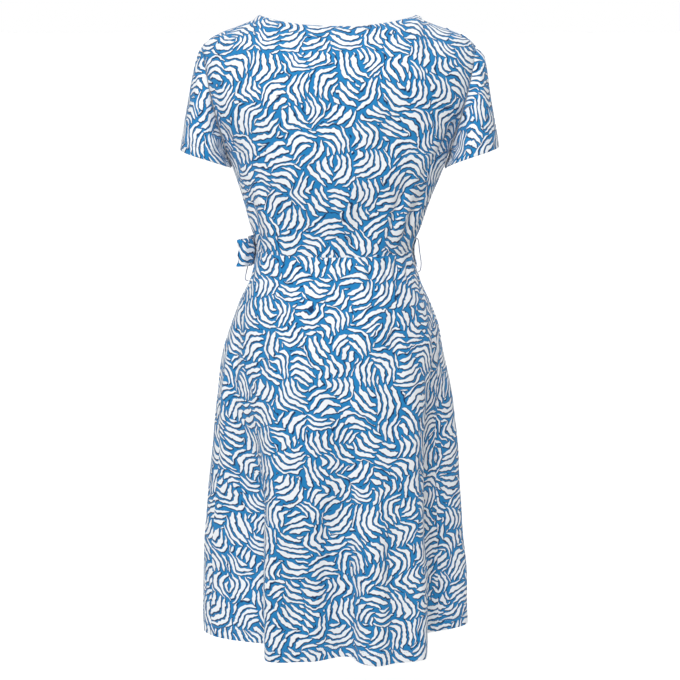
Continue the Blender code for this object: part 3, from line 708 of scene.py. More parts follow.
def roll(angle, height):
    """Sideways move of the rolled folds, towards the wearer's left."""
    total = np.zeros(np.broadcast(angle, height).shape)
    low = smooth((ROLL_EASES[0] - height) / (ROLL_EASES[0] - ROLL_EASES[1]))
    for centre, wide, sideways, start, full, at_hem in ROLLS:
        away = turn_from(centre, angle) / wide
        grown = smooth((start - height) / (start - full)) * mix(1.0, at_hem, low)
        total += sideways * grown * np.exp(-away ** 2)
    return total


def hem_drop(angle, height):
    """How much lower the cloth hangs where the hem dips."""
    centre, wide, drop, start = HEM_DIP
    here = np.exp(-(turn_from(centre, angle) / wide) ** 2)
    return drop * here * smooth((start - height) / (start - HEM_Z))


def shaped(angle, height, lift=0.0):
    """The dress with its creases: lift is how far out a layer lies."""
    base = surface(angle, height)
    fade = smooth((line_height(base[..., 0]) - height) / SHOULDER_FADE)
    points = base + outward(angle, height) * np.expand_dims(lift + crease_push(angle, height) * fade, -1)
    points[..., 0] += roll(angle, height)
    points[..., 2] -= hem_drop(angle, height)
    return points


print("rolled folds:", len(ROLLS))

# %% [markdown]
# ## From points to cloth
# Each panel starts as a flat grid from `bmesh.ops.create_grid`, and every vertex moves to its place.
# The grid is then extruded into a second face, one wall's thickness apart, which leaves a closed shell
# with real edges. A Solidify modifier could do that too, but at seams its wall would turn with the
# last face, while here it can be told where to go. The flat sizes along and across the grain become
# the UV map, in metres, so that the print lies on the cloth as on the roll it was cut from.

# %% Grid helpers
WALL = 0.0009
SEAM_DIP = 0.0007
SEAM_DIP_WIDE = 0.0028


def grid_normals(points, ring=False):
    """Unit normals of a grid of points: across its columns, then up its rows."""
    if ring:
        wrapped = np.concatenate([points[-2:-1], points, points[1:2]])
        across = np.gradient(wrapped, axis=0)[1:-1]
    else:
        across = np.gradient(points, axis=0)
    return unit(np.cross(across, np.gradient(points, axis=1)))


def steps_along(points, axis):
    """Length of the cloth from the first column or row to each place."""
    steps = np.linalg.norm(np.diff(points, axis=axis), axis=-1)
    start = np.zeros_like(np.take(steps, [0], axis=axis))
    return np.cumsum(np.concatenate([start, steps], axis=axis), axis=axis)


def seamed(points, edges, ring=False):
    """Cloth dips a little where it is sewn: edges are any of left, right, bottom and top."""
    u, v = steps_along(points, 0), steps_along(points, 1)
    away = {"left": u, "right": u[-1:] - u, "bottom": v, "top": v[:, -1:] - v}
    dip = sum(np.exp(-(away[edge] / SEAM_DIP_WIDE) ** 2) for edge in edges)
    return points - grid_normals(points, ring) * np.expand_dims(np.minimum(dip, 1.0) * SEAM_DIP, -1)


BEND_STEPS = 7
BEND_EASE = 0.00015
BEND_RADIUS = WALL + BEND_EASE


# Turn a grid so that its second axis runs in from a named edge, and back again.
FROM_EDGE = {
    "bottom": lambda p: p,
    "top": lambda p: p[:, ::-1],
    "left": lambda p: np.swapaxes(p, 0, 1),
    "right": lambda p: np.swapaxes(p[::-1], 0, 1),
}
TO_EDGE = {**FROM_EDGE, "right": lambda p: np.swapaxes(p, 0, 1)[::-1]}


def turned(points, edge, wide, ring=False):
    """Fold an edge of the cloth over to the inside, as at a hem: wide is the width of the turning."""
    cloth_points, out = FROM_EDGE[edge](points), FROM_EDGE[edge](grid_normals(points, ring))
    down = unit(cloth_points[:, 0] - cloth_points[:, 1])
    rows = int(np.searchsorted(np.median(steps_along(cloth_points, 1), axis=0), wide))
    inner = [cloth_points[:, k] - out[:, k] * 2.0 * BEND_RADIUS for k in range(max(rows, 2), 0, -1)]
    bend = []
    for step in range(BEND_STEPS, 0, -1):
        phi = math.pi * step / BEND_STEPS
        middle = cloth_points[:, 0] - out[:, 0] * BEND_RADIUS
        bend.append(middle + (out[:, 0] * math.cos(phi) + down * math.sin(phi)) * BEND_RADIUS)
    stacked = np.stack(inner + bend, axis=1)
    return TO_EDGE[edge](np.concatenate([stacked, cloth_points], axis=1)), len(inner) + len(bend)


print("hem bends on a radius of", BEND_RADIUS * 1000, "mm")

# %% Cloth shell
# where each piece's measures start on the printed roll, in metres across it and along it
PRINT_AT = {
    "jersey_bodice_back": (0.31, 0.72),
    "jersey_bodice_front_under": (1.93, 0.41),
    "jersey_bodice_front_over": (2.87, 1.13),
    "jersey_sleeve_left": (0.17, 2.35),
    "jersey_sleeve_right": (3.41, 1.88),
    "jersey_skirt_back": (4.27, 1.06),
    "jersey_skirt_front_under": (5.61, 2.02),
    "jersey_skirt_front_over": (6.33, 1.57),
    "jersey_belt_band": (7.13, 0.37),
    "jersey_belt_loop_left": (7.735, 1.60),
    "jersey_belt_loop_right": (8.35, 0.83),
    "jersey_belt_tail_long": (8.92, 0.29),
    "jersey_belt_tail_short": (9.41, 1.07),
}
made = {}


def placed_grid(points, uv, ring=False):
    """A grid whose vertices move to their places. Returns it with each vertex's column and row."""
    columns, rows = points.shape[0] - 1, points.shape[1] - 1
    grid = bmesh.new()
    uv_layer = grid.loops.layers.uv.new("cut")
    bmesh.ops.create_grid(grid, x_segments=columns, y_segments=rows, size=0.5)
    where = {v: (round((v.co.x + 0.5) * columns), round((v.co.y + 0.5) * rows)) for v in grid.verts}
    for face in grid.faces:
        for loop in face.loops:
            loop[uv_layer].uv = uv[where[loop.vert]]
    for vertex, place in where.items():
        vertex.co = points[place]
    if ring:
        ends = [vertex for vertex, place in where.items() if place[0] in (0, columns)]
        merged = bmesh.ops.find_doubles(grid, verts=ends, dist=0.00001)["targetmap"]
        for gone in merged:
            where.pop(gone)
        bmesh.ops.weld_verts(grid, targetmap=merged)
    return grid, where


def finished(name, shell, materials, sharp=50.0):
    """Turn a closed bmesh into a smooth-shaded object with its faces pointing out."""
    bmesh.ops.recalc_face_normals(shell, faces=shell.faces)
    mesh = bpy.data.meshes.new(name)
    shell.to_mesh(mesh)
    shell.free()
    mesh.shade_smooth()
    mesh.set_sharp_from_angle(angle=math.radians(sharp))
    for material in materials:
        mesh.materials.append(material)
    piece = bpy.data.objects.new(name, mesh)
    bpy.context.scene.collection.objects.link(piece)
    return piece


def cloth(name, points, cut_from, ring=False):
    """Shell of cloth from a grid of points: cut_from is the column and row where its flat cut starts."""
    inner_points = points - grid_normals(points, ring) * WALL
    u, v = steps_along(points, 0), steps_along(points, 1)
    flat = np.stack([u - u[cut_from[0]][None, :], v - v[:, cut_from[1]][:, None]], axis=-1)
    wall, where = placed_grid(points, flat + np.array(PRINT_AT[name]), ring)
    inner_side = list(wall.faces)
    bmesh.ops.extrude_face_region(wall, geom=wall.faces, use_keep_orig=True)
    for vertex, place in where.items():
        vertex.co = inner_points[place]
    for face in inner_side:
        face.material_index = 1
    piece = finished(name, wall, (jersey_right, jersey_wrong))
    quad = np.cross(points[1:, 1:] - points[:-1, :-1], points[1:, :-1] - points[:-1, 1:])
    made[name] = {"width": float(u[-1].max()), "length": float(v[:, -1].max()),
                  "area": float(np.linalg.norm(quad, axis=-1).sum() / 2.0)}
    measures = {measure: round(value, 3) for measure, value in made[name].items()}
    print(name, measures, len(piece.data.polygons), "faces")
    return piece


def stands_for(piece, node):
    """Tell the frame what carries a sheet of cloth, and hide the solid that it replaces."""
    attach(piece, "root")
    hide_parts(node)


print("wall:", WALL * 1000, "mm")

# %% [markdown]
# ## The print
# The cloth is viscose jersey, printed on one side with off-white brush strokes on bright blue, each
# with a thin navy edge as from a second screen that was laid a little off. The strokes lie in patches:
# a Voronoi texture cuts the cloth into cells, each cell turns its own way, and in a cell the strokes
# are bent bands that taper towards its rim. It is a layout of its own, without any repeat. It is a
# group, because the navy edge is the same pattern read a millimetre further on.

# %% Brush strokes
PATCH = 0.038
PATCH_CHANCE = 0.85
PITCH = 0.0100
STROKE_SHARE = 0.305
STROKE_POINT = 0.55
BEND_LEAST = 0.35
BEND_SPREAD = 0.75
BEND_ROUND = 0.010
TAPER = 0.0085
RIM = 0.0003
# the hand's wobble: the size of each wave, and how far it moves a stroke
HAND_WOBBLE = ((0.045, 0.017), (0.0095, 0.0050))


def brush_strokes():
    group = bpy.data.node_groups.new("brush_strokes", "ShaderNodeTree")
    group.interface.new_socket("Place", in_out="INPUT", socket_type="NodeSocketVector")
    group.interface.new_socket("Stroke", in_out="OUTPUT", socket_type="NodeSocketFloat")
    place = add(group, "NodeGroupInput").outputs["Place"]
    wobbled = place
    for size, reach in HAND_WOBBLE:
        noise = add(group, "ShaderNodeTexNoise", {"Vector": place, "Scale": 1.0 / size, "Detail": 1.0},
                    noise_dimensions="2D").outputs["Color"]
        centred = add(group, "ShaderNodeVectorMath", {0: noise, 1: (0.5, 0.5, 0.5)}, operation="SUBTRACT")
        moved = add(group, "ShaderNodeVectorMath", {0: centred, "Scale": reach}, operation="SCALE")
        wobbled = add(group, "ShaderNodeVectorMath", {0: wobbled, 1: moved}, operation="ADD")
    # patches, each with its own three chances: how it turns, how its strokes bend and where they start
    cells = {"Vector": wobbled, "Scale": 1.0 / PATCH, "Randomness": PATCH_CHANCE}
    cell = add(group, "ShaderNodeTexVoronoi", cells, voronoi_dimensions="2D", feature="F1")
    rim = add(group, "ShaderNodeTexVoronoi", cells, voronoi_dimensions="2D", feature="DISTANCE_TO_EDGE")
    chance = add(group, "ShaderNodeSeparateColor", {"Color": cell.outputs["Color"]}).outputs
    local = add(group, "ShaderNodeVectorMath", {0: wobbled, 1: cell.outputs["Position"]},
                operation="SUBTRACT")
    turn = add(group, "ShaderNodeMath", {0: chance[0], 1: 2.0 * math.pi}, operation="MULTIPLY")
    turned_local = add(group, "ShaderNodeVectorRotate", {"Vector": local, "Angle": turn},
                       rotation_type="Z_AXIS")
    across, along = add(group, "ShaderNodeSeparateXYZ", {"Vector": turned_local}).outputs[:2]
    # bent bands: a place's distance along the patch, bent by its distance across it
    squared = add(group, "ShaderNodeMath", {0: across, 1: across, 2: BEND_ROUND ** 2},
                  operation="MULTIPLY_ADD")
    round_off = add(group, "ShaderNodeMath", {0: squared}, operation="SQRT")
    bend = add(group, "ShaderNodeMath", {0: chance[1], 1: BEND_SPREAD, 2: BEND_LEAST},
               operation="MULTIPLY_ADD")
    bent = add(group, "ShaderNodeMath", {0: round_off, 1: bend, 2: along}, operation="MULTIPLY_ADD")
    phase = add(group, "ShaderNodeMath", {0: bent, 1: 1.0 / PITCH, 2: chance[2]}, operation="MULTIPLY_ADD")
    in_band = add(group, "ShaderNodeMath", {0: phase}, operation="FRACT")
    off_middle = add(group, "ShaderNodeMath", {0: in_band, 1: 0.5}, operation="SUBTRACT")
    away = add(group, "ShaderNodeMath", {0: off_middle}, operation="ABSOLUTE")
    # strokes thin out towards the patch's rim
    room = add(group, "ShaderNodeMath", {0: rim.outputs["Distance"], 1: PATCH / TAPER, 2: -RIM / TAPER},
               operation="MULTIPLY_ADD", use_clamp=True)
    pointed = add(group, "ShaderNodeMath", {0: room, 1: STROKE_POINT}, operation="POWER")
    half = add(group, "ShaderNodeMath", {0: pointed, 1: STROKE_SHARE}, operation="MULTIPLY")
    stroke = add(group, "ShaderNodeMath", {0: half, 1: away}, operation="SUBTRACT")
    add(group, "NodeGroupOutput", {"Stroke": stroke})
    return group


strokes = brush_strokes()
print("print's nodes:", len(strokes.nodes))

# %% [markdown]
# ## Jersey
# Viscose jersey is soft and matt with a faint bloom along its edges. Its right side is printed, and on
# its wrong side the print only shines through. Jersey has about 14 columns of loops to a centimetre;
# here they are drawn 1 mm wide, which is as coarse as they need to be to show from near by.

# %% Jersey materials
PRINT_BLUE = "207FBB"
THIN_BLUE = "2F8CCB"
PRINT_WHITE = "F0F4F8"
PRINT_NAVY = "19365E"
BARE_JERSEY = "F4F3F2"
EDGE_SOFTNESS = 0.05
NAVY_SHIFT = (-0.0007, 0.0007, 0.0)
NAVY_SPREAD = 0.12
LOOP_WIDE = 0.0010
LOOP_TALL = 0.0008
SHINE_THROUGH = 0.30
INK_PATCH = 0.03
INK_UNEVEN = (0.30, -0.05)
RIDGE_LOOPS = 0.25
RIDGE_COLUMNS = -1.6


def jersey(name, right_side):
    material = bpy.data.materials.new(name)
    material.use_nodes = True
    tree = material.node_tree
    shader = tree.nodes["Principled BSDF"]
    cut = add(tree, "ShaderNodeUVMap", uv_map="cut").outputs["UV"]
    shifted = add(tree, "ShaderNodeVectorMath", {0: cut, 1: NAVY_SHIFT}, operation="ADD")
    stroke = add(tree, "ShaderNodeGroup", {"Place": cut}, node_tree=strokes)
    under = add(tree, "ShaderNodeGroup", {"Place": shifted}, node_tree=strokes)
    is_stroke = add(tree, "ShaderNodeMath", {0: stroke, 1: 1.0 / EDGE_SOFTNESS, 2: 0.5},
                    operation="MULTIPLY_ADD", use_clamp=True)
    is_navy = add(tree, "ShaderNodeMath",
                  {0: under, 1: 1.0 / EDGE_SOFTNESS, 2: 0.5 + NAVY_SPREAD / EDGE_SOFTNESS},
                  operation="MULTIPLY_ADD", use_clamp=True)
    # the ground takes the ink a little unevenly
    ink = add(tree, "ShaderNodeTexNoise", {"Vector": cut, "Scale": 1.0 / INK_PATCH, "Detail": 3.0})
    thin = add(tree, "ShaderNodeMath", {0: ink.outputs["Fac"], 1: INK_UNEVEN[0], 2: INK_UNEVEN[1]},
               operation="MULTIPLY_ADD", use_clamp=True)
    colour = linear(PRINT_BLUE)
    for share, over in ((thin, THIN_BLUE), (is_navy, PRINT_NAVY), (is_stroke, PRINT_WHITE)):
        colour = add(tree, "ShaderNodeMix", {"Factor": share, 6: colour, 7: linear(over)},
                     data_type="RGBA").outputs[2]
    if not right_side:
        colour = add(tree, "ShaderNodeMix", {"Factor": SHINE_THROUGH, 6: linear(BARE_JERSEY), 7: colour},
                     data_type="RGBA").outputs[2]
    tree.links.new(colour, shader.inputs["Base Color"])
    # columns of loops: a zigzag of soft ridges
    u, v = add(tree, "ShaderNodeSeparateXYZ", {"Vector": cut}).outputs[:2]
    column = add(tree, "ShaderNodeMath", {0: u, 1: 1.0 / LOOP_WIDE}, operation="MULTIPLY")
    in_column = add(tree, "ShaderNodeMath", {0: column}, operation="FRACT")
    off_middle = add(tree, "ShaderNodeMath", {0: in_column, 1: 0.5}, operation="SUBTRACT")
    column_side = add(tree, "ShaderNodeMath", {0: off_middle}, operation="ABSOLUTE")
    course = add(tree, "ShaderNodeMath", {0: v, 1: 1.0 / LOOP_TALL, 2: column_side}, operation="MULTIPLY_ADD")
    turn = add(tree, "ShaderNodeMath", {0: course, 1: 2.0 * math.pi}, operation="MULTIPLY")
    loops = add(tree, "ShaderNodeMath", {0: turn}, operation="SINE")
    groove = add(tree, "ShaderNodeMath", {0: column_side, 1: RIDGE_COLUMNS}, operation="MULTIPLY")
    ridge = add(tree, "ShaderNodeMath", {0: loops, 1: RIDGE_LOOPS, 2: groove}, operation="MULTIPLY_ADD")
    bump = add(tree, "ShaderNodeBump", {"Height": ridge, "Strength": 0.35, "Distance": 0.0002})
    tree.links.new(bump.outputs["Normal"], shader.inputs["Normal"])
    shader.inputs["Roughness"].default_value = 0.92
    shader.inputs["Sheen Weight"].default_value = 0.18
    shader.inputs["Sheen Roughness"].default_value = 0.5
    shader.inputs["Specular IOR Level"].default_value = 0.25
    return material


jersey_right = jersey("printed_viscose_jersey", True)
jersey_wrong = jersey("wrong_side_of_viscose_jersey", False)
print("materials:", jersey_right.name, jersey_wrong.name)

# %% [markdown]
# ## Bodice
# The back is one panel from side seam to side seam. Each front crosses over to the other side of the
# waist. Necklines and hems are turned to the inside, which gives them their rounded edge.

# %% Bodice
NECK_TURNING = 0.010
BACK_FINE = (132, 110)
FRONT_FINE = (88, 110)


def fine(columns, rows, first, last):
    """Shares from 0 to 1 across a grid's columns, and even steps from first to last up its rows."""
    across, up = np.linspace(0.0, 1.0, columns + 1), np.linspace(first, last, rows + 1)
    return np.meshgrid(across, up, indexing="ij")


share, row = fine(*BACK_FINE, 0.0, BODICE_ROWS)
back_points = seamed(shaped(*back_spot(1.0 - 2.0 * share, row)), ("left", "right", "bottom", "top"))
back_points, added = turned(back_points, "top", NECK_TURNING)
edge_grids = [(back_points, "top", added, 0)]
bodice_back = cloth("jersey_bodice_back", back_points, (BACK_FINE[0] // 2, 0))

share, row = fine(*FRONT_FINE, 0.0, BODICE_ROWS)
under_points = seamed(shaped(*front_spot(1, 1.0 - share, row)), ("right", "bottom", "top"))
under_points, added = turned(under_points, "left", NECK_TURNING)
edge_grids.append((under_points, "left", added, 0))
bodice_under = cloth("jersey_bodice_front_under", under_points, (FRONT_FINE[0] + added, 0))

over_angle, over_height = front_spot(-1, share, row)
over_points = shaped(over_angle, over_height, over_lift(over_angle, over_height))
over_points, added = turned(seamed(over_points, ("left", "bottom", "top")), "right", NECK_TURNING)
edge_grids.append((over_points, "right", added, 0))
bodice_over = cloth("jersey_bodice_front_over", over_points, (0, 0))

stands_for(bodice_back, "bodice_back")
stands_for(bodice_under, "bodice_front_under")
stands_for(bodice_over, "bodice_front_over")

# %% [markdown]
# ## Sleeves
# A set-in sleeve is a tube whose top curves over the arm. Its seam follows the armhole, and its hem is
# straight. Each sleeve is a ring of columns from the underarm round to the underarm again.

# %% Sleeves
CUFF_OUTER = {1: (0.237, 0.0, -0.1950), -1: (-0.2420, 0.0, -0.1905)}
CUFF_INNER = {1: (0.1622, 0.0, -0.2246), -1: (-0.1628, 0.0, -0.2255)}
CUFF_HALF_DEPTH = 0.066
CUFF_BACK_SHIFT = 0.006
CUFF_BACK_RISE = {1: 0.0105, -1: 0.0145}
CUFF_SQUARENESS = 0.6
SLEEVE_MIDDLE = (0.24, 0.0, -0.12)
CROWN_RISE = (-0.005, 0.0, 0.056)
CROWN_PUFF = {1: 0.0010, -1: 0.0075}
CROWN_PUFF_AT = (0.20, 0.34, 0.13)
SLEEVE_FULLNESS = (0.004, 0.014, 0.0)
SLEEVE_GAP = 0.0004
SLEEVE_HEM = 0.018
SLEEVE_FINE = (112, 54)
SLEEVE_FADE = 0.25
SLEEVE_CREASE_ENDS = 2.0
# around (0 underarm, 0.25 back, 0.5 top, 0.75 front), along (0 armhole, 1 hem), lean, long, wide, push
SLEEVE_CREASES = (
    (0.12, 0.35, 0.16, 0.45, 0.030, -0.0014),
    (0.18, 0.55, 0.10, 0.50, 0.026, 0.0020),
    (0.25, 0.40, 0.06, 0.45, 0.028, -0.0012),
    (0.33, 0.60, 0.04, 0.40, 0.030, -0.0016),
    (0.41, 0.35, 0.02, 0.35, 0.026, -0.0018),
    (0.05, 0.60, 0.05, 0.40, 0.028, -0.0028),
    (0.95, 0.45, -0.05, 0.40, 0.028, -0.0028),
    (0.86, 0.40, -0.14, 0.45, 0.030, -0.0030),
    (0.76, 0.50, -0.08, 0.45, 0.028, -0.0024),
    (0.66, 0.60, -0.04, 0.40, 0.030, -0.0020),
    (0.58, 0.35, -0.02, 0.35, 0.026, -0.0016),
)


def sleeve_points(side):
    """Places on a sleeve, round it from the underarm and up it from the hem to the armhole."""
    column_share, along = fine(*SLEEVE_FINE, 1.0, 0.0)
    around = 1.0 - column_share if side > 0 else column_share
    front = around > 0.5
    share = np.where(front, 2.0 * (1.0 - around), 2.0 * around)
    back_angle, height = armhole(side, False, share)
    front_angle, _ = armhole(side, True, share)
    angle = np.where(front, front_angle, back_angle)
    seam = shaped(angle, height)
    into = unit(np.array(SLEEVE_MIDDLE) * (side, 1.0, 1.0) - seam)
    start = seam + into * SLEEVE_GAP
    inner, outer = np.array(CUFF_INNER[side]), np.array(CUFF_OUTER[side])
    turn = math.pi * share
    end = (inner + outer) / 2.0 - (outer - inner) / 2.0 * np.cos(turn)[..., None]
    facing_back = np.where(front, -1.0, 1.0)
    bulge = np.sin(turn) ** CUFF_SQUARENESS
    end[..., 1] += facing_back * CUFF_HALF_DEPTH * bulge + CUFF_BACK_SHIFT * np.sin(turn)
    end[..., 2] += CUFF_BACK_RISE[side] * (1.0 - share) * bulge * ~front
    control = (start + end) / 2.0 + np.array(CROWN_RISE) * (side, 1.0, 1.0) * (share ** 4)[..., None]
    control[..., 0] += side * SLEEVE_FULLNESS[0] * np.sin(turn)
    control[..., 1] += facing_back * SLEEVE_FULLNESS[1] * np.sin(turn)
    t = along[..., None]
    points = start * (1.0 - t) ** 2 + control * 2.0 * t * (1.0 - t) + end * t ** 2
    middle, long, wide = CROWN_PUFF_AT
    push = CROWN_PUFF[side] * np.exp(-((along - middle) / long) ** 2 - ((around - 0.5) / wide) ** 2)
    for centre, middle, lean, long, wide, depth in SLEEVE_CREASES:
        up = along - middle
        aside = ((around - centre - lean * up + 0.5) % 1.0 - 0.5) / wide
        push += depth * np.exp(-aside ** 2) * np.exp(-(up / long) ** 2 * SLEEVE_CREASE_ENDS)
    push *= smooth(along / SLEEVE_FADE)
    return points + grid_normals(points, True) * push[..., None]


sleeve_grids = []
for side, name in ((1, "left"), (-1, "right")):
    points = seamed(sleeve_points(side), ("top",), ring=True)
    points, added = turned(points, "bottom", SLEEVE_HEM, ring=True)
    sleeve_grids.append((points, added))
    cut_from = (SLEEVE_FINE[0] // 2, added)
    sleeve = cloth("jersey_sleeve_" + name, points, cut_from, ring=True)
    stands_for(sleeve, "sleeve_" + name)

# %% [markdown]
# ## Skirt
# The back is one flared panel. The two fronts overlap by a third of their width and hang from the same
# waist seam. All of them are flared by their cut and by the folds that fall from the waist.

# %% Skirt
SKIRT_EASE = 1.5
HEM_TURNING = 0.020
SKIRT_FINE_ROWS = 150
SKIRT_BACK_FINE = 236
SKIRT_FRONT_FINE = 168


def skirt_rows(columns):
    """Shares across a panel's columns, and heights from the hem up to the waist."""
    share, row = fine(columns, SKIRT_FINE_ROWS, 0.0, 1.0)
    return share, mix(HEM_Z, WAIST_Z, 1.0 - (1.0 - row) ** SKIRT_EASE)


share, height = skirt_rows(SKIRT_BACK_FINE)
skirt_points = shaped((1.0 - 2.0 * share) * side_seam(1, height), height)
skirt_points, added = turned(seamed(skirt_points, ("left", "right", "top")), "bottom", HEM_TURNING)
skirt_grids = [(skirt_points, added, 0, None)]
skirt_back = cloth("jersey_skirt_back", skirt_points, (SKIRT_BACK_FINE // 2, -1))

share, height = skirt_rows(SKIRT_FRONT_FINE)
left_edge, right_edge = side_seam(1, height), side_seam(-1, height)
under_angle = mix(mix(left_edge, right_edge, 1.0 - WRAP_SHARE), left_edge, share)
under_points, up_hem = turned(seamed(shaped(under_angle, height), ("right", "top")), "bottom", HEM_TURNING)
under_points, added = turned(under_points, "left", NECK_TURNING)
skirt_grids.append((under_points, up_hem, added, None))
edge_grids.append((under_points, "left", added, up_hem))
skirt_under = cloth("jersey_skirt_front_under", under_points, (SKIRT_FRONT_FINE + added, -1))

over_angle = mix(right_edge, mix(left_edge, right_edge, WRAP_SHARE), share)
over_points = shaped(over_angle, height, over_lift(over_angle, height))
over_points, up_hem = turned(seamed(over_points, ("left", "top")), "bottom", HEM_TURNING)
over_points, added = turned(over_points, "right", NECK_TURNING)
skirt_grids.append((over_points, up_hem, 0, -added))
edge_grids.append((over_points, "right", added, up_hem))
skirt_over = cloth("jersey_skirt_front_over", over_points, (0, -1))

stands_for(skirt_back, "skirt_back")
stands_for(skirt_under, "skirt_front_under")
stands_for(skirt_over, "skirt_front_over")

# %% [markdown]
# ## Tie belt
# The belt is a tube of the same jersey, turned right side out and pressed 45 mm wide. One stretch is
# sewn in at the wearer's right side seam and crosses the front, and it is tied to the other half in a
# bow over the left front. A Curve with a flat bevel could draw each stretch, but it could not be
# gathered. So each is a strip of places along its middle, with a closed tube laid round it.

# %% Flat tubes
BELT_WIDTH = 0.045
TIE_THICK = 0.0016
TIE_ACROSS = 20
TIE_EDGE = 8.0
TIE_END = 0.0008
TIE_BLUNT = 0.05
# where the first rows lie, closer together at the ends, and where the even ones start
TIE_NEAR = (0.0, 0.0006, 0.0018, 0.0040)
TIE_EVEN = 0.012
across_tie = np.sin(np.linspace(-0.5, 0.5, TIE_ACROSS + 1) * math.pi)


def tie_shares(steps):
    """Shares along a tie, closer together at both ends, where its cloth rounds off."""
    near = np.array(TIE_NEAR)
    return np.concatenate([near, np.linspace(TIE_EVEN, 1.0 - TIE_EVEN, steps), 1.0 - near[::-1]])


def squeezed(middle, shares, squeezes):
    """Fold a strip lengthwise where it is squeezed: rows of share along, reach, folds, depth and shift."""
    length = steps_along(middle, 0)[:, TIE_ACROSS // 2]
    push = np.zeros(middle.shape[:2])
    for share, reach, folds, deep, shift in squeezes:
        near = np.exp(-((length - np.interp(share, shares, length)) / reach) ** 2)
        push += deep * near[:, None] * np.cos(math.pi * (folds * across_tie[None, :] + shift))
    return middle + grid_normals(middle) * push[..., None]


def tie(name, middle):
    """Lay a flattened tube round a strip: middle is a grid of places along it, then across it."""
    out = grid_normals(middle)
    length = steps_along(middle, 0)
    near_end = np.clip(np.minimum(length, length[-1:] - length) / TIE_END, TIE_BLUNT, 1.0)
    half = TIE_THICK / 2.0 * np.sqrt(1.0 - abs(across_tie) ** TIE_EDGE) * np.sqrt(1.0 - (1.0 - near_end) ** 2)
    faces = middle + out * half[..., None], middle - out * half[..., None]
    points = np.swapaxes(np.concatenate([faces[0], faces[1][:, -2::-1]], axis=1), 0, 1)
    along = np.broadcast_to(length[:, TIE_ACROSS // 2], points.shape[:2])
    uv = np.stack([steps_along(points, 0), along], axis=-1) + np.array(PRINT_AT[name])
    tube, where = placed_grid(points, uv, ring=True)
    ends = bmesh.ops.holes_fill(tube, edges=[edge for edge in tube.edges if edge.is_boundary])["faces"]
    uv_layer = tube.loops.layers.uv["cut"]
    for loop in (loop for face in ends for loop in face.loops):
        loop[uv_layer].uv = uv[where[loop.vert]]
    piece = finished(name, tube, (jersey_right,), sharp=70.0)
    made[name] = {"width": BELT_WIDTH, "length": float(length[-1, TIE_ACROSS // 2])}
    print(name, "is", round(made[name]["length"], 3), "m long,", len(piece.data.polygons), "faces")
    return piece


# %% [markdown]
# ### Band and knot
# The band lies over the wrapped fronts a hair out from them. The knot is a soft wad: a ball made
# squarish, flattened against the band and bent round the waist, with the folds of the turn of cloth
# that wraps it.

# %% Band and knot
BAND_EASE = 0.0004
BAND_START = 1.0
BAND_PAST_KNOT = 2.0
BAND_STEPS = 150
SOLID_WALL = 0.0015
LAYER_GAP = 0.0007
KNOT_ANGLE = 126.0
KNOT_HALF_ANGLE = 8.0
KNOT_HALF_HEIGHT = 0.0195
KNOT_DEPTH = 0.013
KNOT_SQUARENESS = 0.7
KNOT_FLAT = 0.55
KNOT_FOLDS = ((1.9, 0.55, 0.0011, 0.5), (3.3, -0.80, 0.0006, 1.7))
KNOT_PRINT = (0.0175, 0.0195)
KNOT_SEGMENTS = (64, 40)


def band_lift(angle, height):
    """Outer face of the band across the front."""
    return front_lift(angle, height) + LAYER + BAND_EASE


shares = tie_shares(BAND_STEPS)
angle = mix(side_seam(-1, BELT_Z) - BAND_START, KNOT_ANGLE - BAND_PAST_KNOT, shares)[:, None]
height = BELT_Z + BELT_WIDTH / 2.0 * across_tie[None, :]
angle, height = np.broadcast_arrays(angle, height)
band_middle = lifted(angle, height, band_lift(angle, height) - SOLID_WALL / 2.0)
belt_band = tie("jersey_belt_band", band_middle)


def knot_piece():
    ball = bmesh.new()
    uv_layer = ball.loops.layers.uv.new("cut")
    bmesh.ops.create_uvsphere(ball, u_segments=KNOT_SEGMENTS[0], v_segments=KNOT_SEGMENTS[1], radius=1.0)
    verts = list(ball.verts)
    at = np.array([vertex.co for vertex in verts])
    across, deep, up = (np.sign(at) * abs(at) ** KNOT_SQUARENESS).T
    angle, height = KNOT_ANGLE + across * KNOT_HALF_ANGLE, BELT_Z + up * KNOT_HALF_HEIGHT
    depth = (np.maximum(deep, -KNOT_FLAT) + KNOT_FLAT) / (1.0 + KNOT_FLAT) * KNOT_DEPTH
    facing = smooth(at[:, 1]) * (1.0 - up ** 4)
    for folds, lean, push, start in KNOT_FOLDS:
        depth += push * facing * np.cos(math.pi * folds * (across + lean * up) + start)
    places = lifted(angle, height, band_lift(angle, height) + LAYER_GAP + depth)
    print_at = {vertex: (a * KNOT_PRINT[0], u * KNOT_PRINT[1]) for vertex, a, u in zip(verts, across, up)}
    for vertex, place in zip(verts, places):
        vertex.co = place
    for loop in (loop for face in ball.faces for loop in face.loops):
        loop[uv_layer].uv = print_at[loop.vert]
    return finished("jersey_belt_knot", ball, (jersey_right,), sharp=80.0)


belt_knot = knot_piece()
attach(belt_knot, "root")
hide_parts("belt_knot")
stands_for(belt_band, "belt_band")

# %% [markdown]
# ### Loops of the bow
# A loop leaves the knot, runs out along the dress, turns and comes back outside itself. It is gathered
# where the knot holds it, and the left one is squeezed once more by the thread loop that it runs
# through. Its folds fan out from each of these places.

